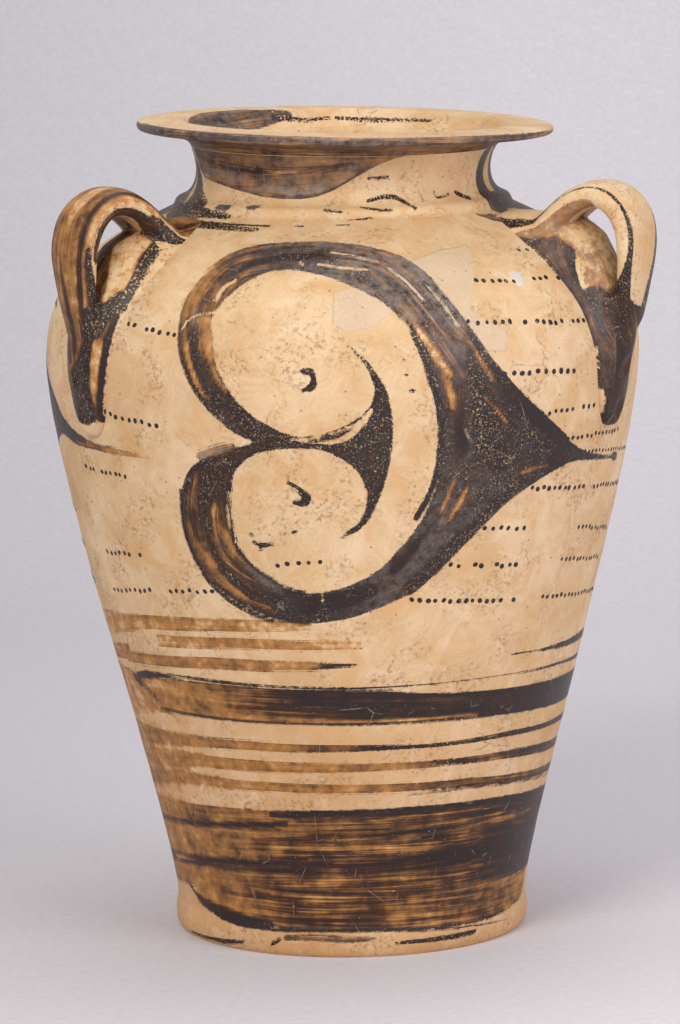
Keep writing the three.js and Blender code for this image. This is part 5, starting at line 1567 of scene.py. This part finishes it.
# Paint on each handle, in the order it was laid. A place on the strap is mm along it and mm
# round it, and a place on the saddle is height and mm across. Then follow half width, load, wear
# and grey film.
handle_strokes = {
    "left": (
        {
            "outer face": [(0, 0, 17, 0.42, 0.14), (40, 0, 17, 0.38, 0.12), (90, 0, 18, 0.4, 0.1),
                (124, 0, 16, 0.42, 0.1)],
            "near edge": [(14, 11.5, 1.6, 0.72, 0.2), (40, 11.8, 1.3, 0.84, 0.2),
                (66, 12.2, 1.4, 0.86, 0.15), (92, 9.5, 1.5, 0.86, 0.15), (118, 6.4, 1.6, 0.85, 0.15)],
            "far edge": [(12, -13, 2.2, 0.72, 0.2), (66, -12.5, 2.0, 0.74, 0.2),
                (118, -5, 1.8, 0.78, 0.2)],
            "darker top": [(14, -6, 4, 0.52, 0.2), (34, -5, 4.5, 0.56, 0.2), (46, -6, 3, 0.5, 0.2)],
            "worn patch": [(46, 3, 2.2, 0.1, 0.5), (54, 1.5, 3.6, 0.08, 0.6), (61, 1, 2.4, 0.12, 0.5)],
            "middle streak": [(80, -1, 1.0, 0.66, 0.2), (96, 0, 1.4, 0.78, 0.15),
                (118, 0, 1.4, 0.8, 0.15)],
            "root, near side": [(2, 24, 4.0, 0.95, 0.62), (30, 20, 3.0, 0.95, 0.62)],
            "near side": [(30, 17, 2.2, 0.12, 0.7), (50, 17.4, 2.2, 0.1, 0.7), (74, 17, 2.0, 0.14, 0.6)],
            "under the arch": [(30, 27, 6.5, 0.76, 0.1), (52, 26.5, 6.5, 0.76, 0.08),
                (74, 25, 5.5, 0.76, 0.1)],
            "valley": [(72, 17, 1.6, 0.98, 0.4), (84, 17, 2.2, 0.98, 0.4), (100, 16, 3.4, 0.98, 0.36)],
            "tail": [(98, 13, 3, 1, 0.4), (110, 10, 4, 1, 0.45), (120, 7, 5.5, 1, 0.45),
                (130, 2, 10, 1, 0.45), (136, 0, 11, 1, 0.45)],
        },
        {
            "under the arch": [(304, -6, 12, 0.58, 0.14), (284, -5, 14, 0.6, 0.1),
                (258, -4, 13, 0.56, 0.14)],
            "wash": [(288, 6, 12, 0.5, 0.2), (262, 3, 13.5, 0.42, 0.15), (240, 2, 10.5, 0.42, 0.15),
                (227, 0, 5, 0.5, 0.2)],
            "near side": [(304, 10, 6, 0.05, 0.7), (292, 14, 5, 0.05, 0.7), (280, 13, 3, 0.1, 0.6)],
            "near edge flecks": [(306, 15, 1.6, 1, 0.8), (292, 19, 1.8, 1, 0.76),
                (279, 18.4, 2.0, 1, 0.66)],
            "black patch": [(284, 16, 1.6, 1, 0.74), (277, 13, 3.2, 1, 0.66), (269, 8, 4.5, 1, 0.46)],
            "valley stripe": [(270, 7.5, 4.4, 1, 0.36), (250, 6.4, 4.6, 1, 0.3), (236, 3.4, 4.4, 1, 0.3)],
            "orange fillet": [(264, 12.6, 2.4, 0.16, 0.12), (252, 11.4, 2.6, 0.2, 0.12),
                (240, 8.8, 2.0, 0.24, 0.2)],
            "fillet's edge": [(276, 17.6, 1.2, 0.8, 0.3), (262, 15.8, 1.2, 0.82, 0.2),
                (246, 13.2, 1.3, 0.85, 0.15), (232, 9.8, 1.4, 0.85, 0.15)],
            "heel": [(246, 1, 7, 1, 0.36), (236, 0, 8.4, 1, 0.36), (226, 0, 4.6, 1, 0.4)],
            "heel's edge": [(231, 7.4, 1.0, 0.3, 0.3), (225.6, 2.5, 1.2, 0.34, 0.3),
                (225.4, -2.5, 1.2, 0.34, 0.3)],
        },
    ),
    "right": (
        {
            "near edge": [(30, -12.5, 0.9, 0.95, 0.75), (50, -13.4, 1.3, 1, 0.66),
                (70, -14.4, 1.9, 1, 0.6), (84, -15, 2.8, 1, 0.55), (96, -15, 5.4, 1, 0.5),
                (104, -14, 7, 1, 0.5)],
            "far edge": [(60, 12.6, 2.2, 0.95, 0.8), (84, 7, 3.6, 0.95, 0.74), (104, 3, 5, 0.95, 0.6)],
            # Painted shade: buff-grey under the arch, a faint wash under grey film
            "painted shade under the arch": [(4, -26, 7, 0.3, 0.4, 0.6), (24, -26, 7, 0.3, 0.42, 0.6),
                (44, -27, 7, 0.26, 0.5, 0.5)],
            "root flecks": [(6, -15, 2.5, 0.95, 0.66), (20, -12, 2.4, 0.95, 0.66),
                (34, -8, 2.0, 0.95, 0.7)],
            "tail": [(102, -12, 7, 0.84, 0.4), (110, -6, 15, 0.8, 0.3), (118, 0, 22, 0.8, 0.22),
                (135, 0, 22, 0.8, 0.15)],
        },
        {
            # Dark brown slip down the flange, with a painted grey sheen laid as grey film
            "dark flange with painted sheen": [(306, -15, 3.4, 0.7, 0.35, 0.4), (296, -19.0, 3.0, 0.72, 0.35, 0.3),
                (280, -19.5, 3.0, 0.76, 0.2, 0.2), (262, -17, 3.2, 0.76, 0.08, 0.3)],
            "far side": [(300, 16, 3.2, 0.85, 0.2), (276, 16, 3.2, 0.85, 0.2), (250, 12, 3, 0.85, 0.2)],
            # Painted shade: buff-grey on the saddle under the arch, a faint wash under grey film
            "painted shade under the arch": [(304, 0, 15, 0.1, 0.5, 0.6), (286, 0, 16, 0.12, 0.5, 0.5)],
            "wash": [(280, -14, 4, 0.7, 0.5, 0.4), (266, -12, 6, 0.76, 0.35, 0.3),
                (252, -4, 13, 0.8, 0.25, 0.15), (242, 0, 13, 0.8, 0.18, 0.1),
                (228, 0, 8, 0.8, 0.12, 0.1)],
            "crazed patch": [(276, 3, 3, 1, 0.7), (266, 2, 6, 1, 0.55), (252, 0, 7, 1, 0.5)],
            "ridge": [(240, -10, 1.9, 0.86, 0.1), (229, -7, 2.0, 0.86, 0.1), (225.5, 0, 2.0, 0.86, 0.1),
                (229, 7, 2.0, 0.86, 0.1), (240, 10, 1.9, 0.86, 0.1)],
            "orange middle": [(237, 0, 2.2, 0.24, 0.2), (230, 0, 2.6, 0.28, 0.2)],
        },
    ),
    "back": (
        {
            "outer face": [(0, 0, 17, 0.46, 0.26), (60, 0, 16, 0.36, 0.3), (124, 0, 10, 0.5, 0.2)],
            "left edge": [(14, 12, 1.5, 0.85, 0.3), (66, 12.4, 1.5, 0.9, 0.26), (118, 6, 1.6, 0.88, 0.2)],
            "right edge": [(14, -12, 1.5, 0.85, 0.3), (66, -12.4, 1.5, 0.9, 0.3),
                (118, -6, 1.6, 0.88, 0.2)],
            "worn patch": [(36, 0, 3, 0.1, 0.6), (46, 2, 4.4, 0.1, 0.6), (56, 2, 2.5, 0.1, 0.6)],
            "under the arch": [(34, 25, 6, 0.7, 0.3), (74, 25, 6, 0.7, 0.3)],
        },
        {
            "under the arch": [(302, 0, 15, 0.76, 0.3), (280, 0, 17, 0.8, 0.26),
                (258, 0, 14, 0.76, 0.25)],
            "heel": [(242, 0, 7, 0.95, 0.3), (232, 0, 7, 0.95, 0.26), (227, 0, 4, 0.9, 0.3)],
        },
    ),
}


def handle_paint(points, azimuth, strap_strokes, saddle_strokes):
    along, girth, across, strap_share = handle_place(points, azimuth)
    on_strap, on_saddle = no_paint(points), no_paint(points)
    lay_strokes(on_strap, np.stack([along, girth], -1), strap_strokes)
    lay_strokes(on_saddle, np.stack([points[:, 2], across], -1), saddle_strokes)
    paint = {}
    for key, saddle in on_saddle.items():
        share = strap_share if saddle.ndim == 1 else strap_share[:, None]
        paint[key] = saddle + (on_strap[key] - saddle) * share
    return paint


handle_azimuths = {"left": -60, "right": 60, "back": 180}
for side, azimuth in handle_azimuths.items():
    handle, handle_points = handle_clay(
        "handle_clay_" + side, azimuth, strap_pulled[side], saddle_heaped[side]
    )
    store_paint(handle, handle_paint(handle_points, azimuth, *handle_strokes[side]))
    handle.data.materials.clear()
    handle.data.materials.append(painted_clay)
    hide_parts("handle_saddle_" + side, "handle_strap_" + side, "handle_heel_" + side)
    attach(handle, "root")

# Painted dots: rows of small round touches of thick black slip between the leaves, dabbed on with
# the tip of a brush, so they stand up a hair from the wall. Many are chipped, and some are gone.
# A row is two pixels of the photo that it runs between, then dot width, pitch and strength.
dot_rows = [
    (519, 250, 545, 250, 2.4, 3.98, 0.45), (477, 281, 514, 281, 2.4, 3.4, 0.8),
    (534, 278, 579, 278, 2.5, 3.5, 1), (469, 322, 526, 322, 2.5, 3.5, 1),
    (537, 322, 589, 320, 2.5, 3.5, 1), (505, 374, 581, 369, 2.7, 4.1, 1),
    (543, 413, 594, 405, 2.5, 3.5, 1), (563, 439, 618, 429, 2.3, 3.4, 1),
    (573, 451, 626, 447, 2.0, 3.2, 0.85), (532, 488, 618, 482, 2.5, 3.5, 1),
    (485, 528, 524, 528, 2.4, 3.5, 1), (579, 527, 607, 527, 2.4, 3.5, 0.9),
    (451, 565, 516, 565, 2.5, 3.5, 1), (562, 560, 598, 556, 2.3, 3.4, 0.8),
    (411, 600, 513, 600, 2.5, 3.5, 1), (543, 597, 594, 588, 2.4, 3.5, 0.9),
    (129, 324, 175, 335, 2.4, 3.5, 1), (110, 415, 157, 426, 2.4, 3.5, 1),
    (86, 467, 125, 476, 2.3, 3.4, 0.9), (107, 552, 145, 555, 2.4, 3.5, 0.9),
    (114, 590, 150, 590, 2.3, 3.4, 0.9), (170, 591, 212, 591, 2.3, 3.4, 1),
    (278, 565, 320, 561, 2.4, 3.6, 1),
]
hidden_turns = (120, -120)
hidden_before = -76
dot_thickness = 0.16
dot_jitter = 0.45
dots_lost = 0.07
dot_seed = 7

row_points, row_edges = [], []
row_values = {"row_width": [], "row_pitch": [], "row_strength": [], "wall_normal": []}
for turn in (0, *hidden_turns):
    for *ends, width, pitch, strength in dot_rows:
        (start, end), (start_height, end_height), _ = seen_at([ends[:2], ends[2:]])
        away = (start + turn + 180) % 360 - 180, (end + turn + 180) % 360 - 180
        if turn and hidden_before < max(away) and min(away) < 90:
            continue
        count = int(abs(end - start) * math.radians(wall_radius(start_height))) + 2
        azimuth = np.linspace(start + turn, end + turn, count)
        height = np.linspace(start_height, end_height, count)
        first = len(row_points)
        row_points += list(settled(on_wall(azimuth, height, 0.02)) * MM)
        row_edges += [(first + i, first + i + 1) for i in range(count - 1)]
        outward, upward = wall_normal(height)
        turned = np.radians(azimuth)
        facing = np.stack([outward * np.sin(turned), -outward * np.cos(turned), upward], -1)
        row_values["wall_normal"] += list(facing)
        row_values["row_width"] += [width * MM] * count
        row_values["row_pitch"] += [pitch * MM] * count
        row_values["row_strength"] += [strength] * count
dots_mesh = bpy.data.meshes.new("painted_dots")
dots_mesh.from_pydata(row_points, row_edges, [])
for key, values in row_values.items():
    kind, field = ("FLOAT_VECTOR", "vector") if key == "wall_normal" else ("FLOAT", "value")
    dots_mesh.attributes.new(key, kind, "POINT").data.foreach_set(field, np.array(values, np.float32).ravel())
dots = bpy.data.objects.new("painted_dots", dots_mesh)
bpy.context.scene.collection.objects.link(dots)

# Thick slip of the dots: near black where whole, brown where it is worn, with chips down to clay
dot_slip = bpy.data.materials.new("iron-slip dots")
dot_slip.use_nodes = True
mm, clay, _, clay_height = ground_nodes(dot_slip, clay_tones, 1)
tree = dot_slip.node_tree
dot_load = add(tree, "ShaderNodeAttribute", attribute_name="dot_load").outputs["Fac"]
chip = noise_at(tree, mm, flake_mm, Detail=3.0)
limit = remap(tree, dot_load, (0, 1), (0.55, 0.74))
over = maths(tree, "SUBTRACT", chip, limit)
chipped = remap(tree, over, (0, 0.03))
blot = noise_at(tree, mm, blot_mm, Detail=2.0)
depth = maths(tree, "MULTIPLY_ADD", blot, 0.5, dot_load)
dot_tones = ((0.4, "7d5233"), (0.75, "4b342b"), (1.1, "29242a"))
fired = add(tree, "ShaderNodeValToRGB", {"Fac": depth}, stops=[(p / 1.1, code) for p, code in dot_tones])
colour = mixed(tree, chipped, fired, clay)
rough = remap(tree, chipped, (0, 1), (0.42, 0.6))
close_material(dot_slip, colour, rough, clay_height)

dabbing = bpy.data.node_groups.new("dabbed dots", "GeometryNodeTree")
sockets = {}
asked = {
    "Rows": "Geometry", "Seed": "Int", "Jitter": "Float", "Lost": "Float", "Thickness": "Float",
    "Slip": "Material",
}
for name, kind in asked.items():
    socket = dabbing.interface.new_socket(name, in_out="INPUT", socket_type="NodeSocket" + kind)
    sockets[name] = socket.identifier
dabbing.interface.new_socket("Dots", in_out="OUTPUT", socket_type="NodeSocketGeometry")
given = add(dabbing, "NodeGroupInput").outputs
stored = {
    key: add(dabbing, "GeometryNodeInputNamedAttribute", {"Name": key}, data_type="FLOAT").outputs[0]
    for key in ("row_width", "row_pitch", "row_strength")
}
facing = add(
    dabbing, "GeometryNodeInputNamedAttribute", {"Name": "wall_normal"}, data_type="FLOAT_VECTOR"
).outputs[0]
lines = add(dabbing, "GeometryNodeMeshToCurve", {"Mesh": given["Rows"]})
spaced = {"Curve": lines, "Length": stored["row_pitch"]}
places = add(dabbing, "GeometryNodeResampleCurve", spaced, mode="LENGTH")
jitter, seed = given["Jitter"], given["Seed"]
low = maths(dabbing, "MULTIPLY", jitter, -1.0)
shake = add(
    dabbing, "FunctionNodeRandomValue", {0: low, 1: jitter, "Seed": seed}, data_type="FLOAT_VECTOR"
)
along_wall = add(dabbing, "ShaderNodeVectorMath", {0: facing, 1: shake.outputs[0]}, operation="CROSS_PRODUCT")
shaken = add(dabbing, "GeometryNodeSetPosition", {"Geometry": places, "Offset": along_wall})
gone = add(
    dabbing, "FunctionNodeRandomValue", {"Probability": given["Lost"], "Seed": seed}, data_type="BOOLEAN"
)
picked = {"Geometry": shaken, "Selection": gone.outputs[3]}
kept = add(dabbing, "GeometryNodeDeleteGeometry", picked, domain="POINT")
upright = add(dabbing, "FunctionNodeAlignRotationToVector", {"Vector": facing}, axis="Z")
spin = add(dabbing, "FunctionNodeRandomValue", {3: 2 * math.pi, "Seed": seed}, data_type="FLOAT")
spin = add(dabbing, "FunctionNodeAxisAngleToRotation", {"Angle": spin.outputs[1]})
turned = add(dabbing, "FunctionNodeRotateRotation", {0: upright, 1: spin}, rotation_space="LOCAL")
uneven = add(
    dabbing, "FunctionNodeRandomValue", {0: (0.76, 0.76, 0.7), 1: (1.12, 1.0, 1.2), "Seed": seed},
    data_type="FLOAT_VECTOR",
)
wide = stored["row_width"]
flat = add(dabbing, "ShaderNodeCombineXYZ", {0: wide, 1: wide, 2: given["Thickness"]})
size = add(dabbing, "ShaderNodeVectorMath", {0: uneven.outputs[0], 1: flat}, operation="MULTIPLY")
touch = add(dabbing, "GeometryNodeMeshUVSphere", {"Segments": 12, "Rings": 5, "Radius": 0.5})
touch = add(dabbing, "GeometryNodeSetShadeSmooth", {0: touch.outputs[0]})
laid = {"Points": kept, "Instance": touch, "Rotation": turned, "Scale": size}
dabs = add(dabbing, "GeometryNodeInstanceOnPoints", laid)
strength = add(dabbing, "FunctionNodeRandomValue", {2: 0.6, 3: 1.1, "Seed": seed}, data_type="FLOAT")
strength = maths(dabbing, "MULTIPLY", strength.outputs[1], stored["row_strength"])
dabs = add(
    dabbing, "GeometryNodeStoreNamedAttribute", {"Geometry": dabs, "Name": "dot_load", "Value": strength},
    data_type="FLOAT", domain="INSTANCE",
)
dabs = add(dabbing, "GeometryNodeRealizeInstances", {"Geometry": dabs})
dabs = add(dabbing, "GeometryNodeSetMaterial", {"Geometry": dabs, "Material": given["Slip"]})
add(dabbing, "NodeGroupOutput", {0: dabs})

dabbed = dots.modifiers.new("dabbed with a brush", "NODES")
dabbed.node_group = dabbing
settings = {
    "Seed": dot_seed, "Jitter": dot_jitter * MM, "Lost": dots_lost,
    "Thickness": 2 * dot_thickness * MM, "Slip": dot_slip,
}
for name, value in settings.items():
    dabbed[sockets[name]] = value
dots_mesh = bpy.data.meshes.new_from_object(dots.evaluated_get(bpy.context.evaluated_depsgraph_get()))
dots.modifiers.clear()
dots.data = dots_mesh
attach(dots, "root")
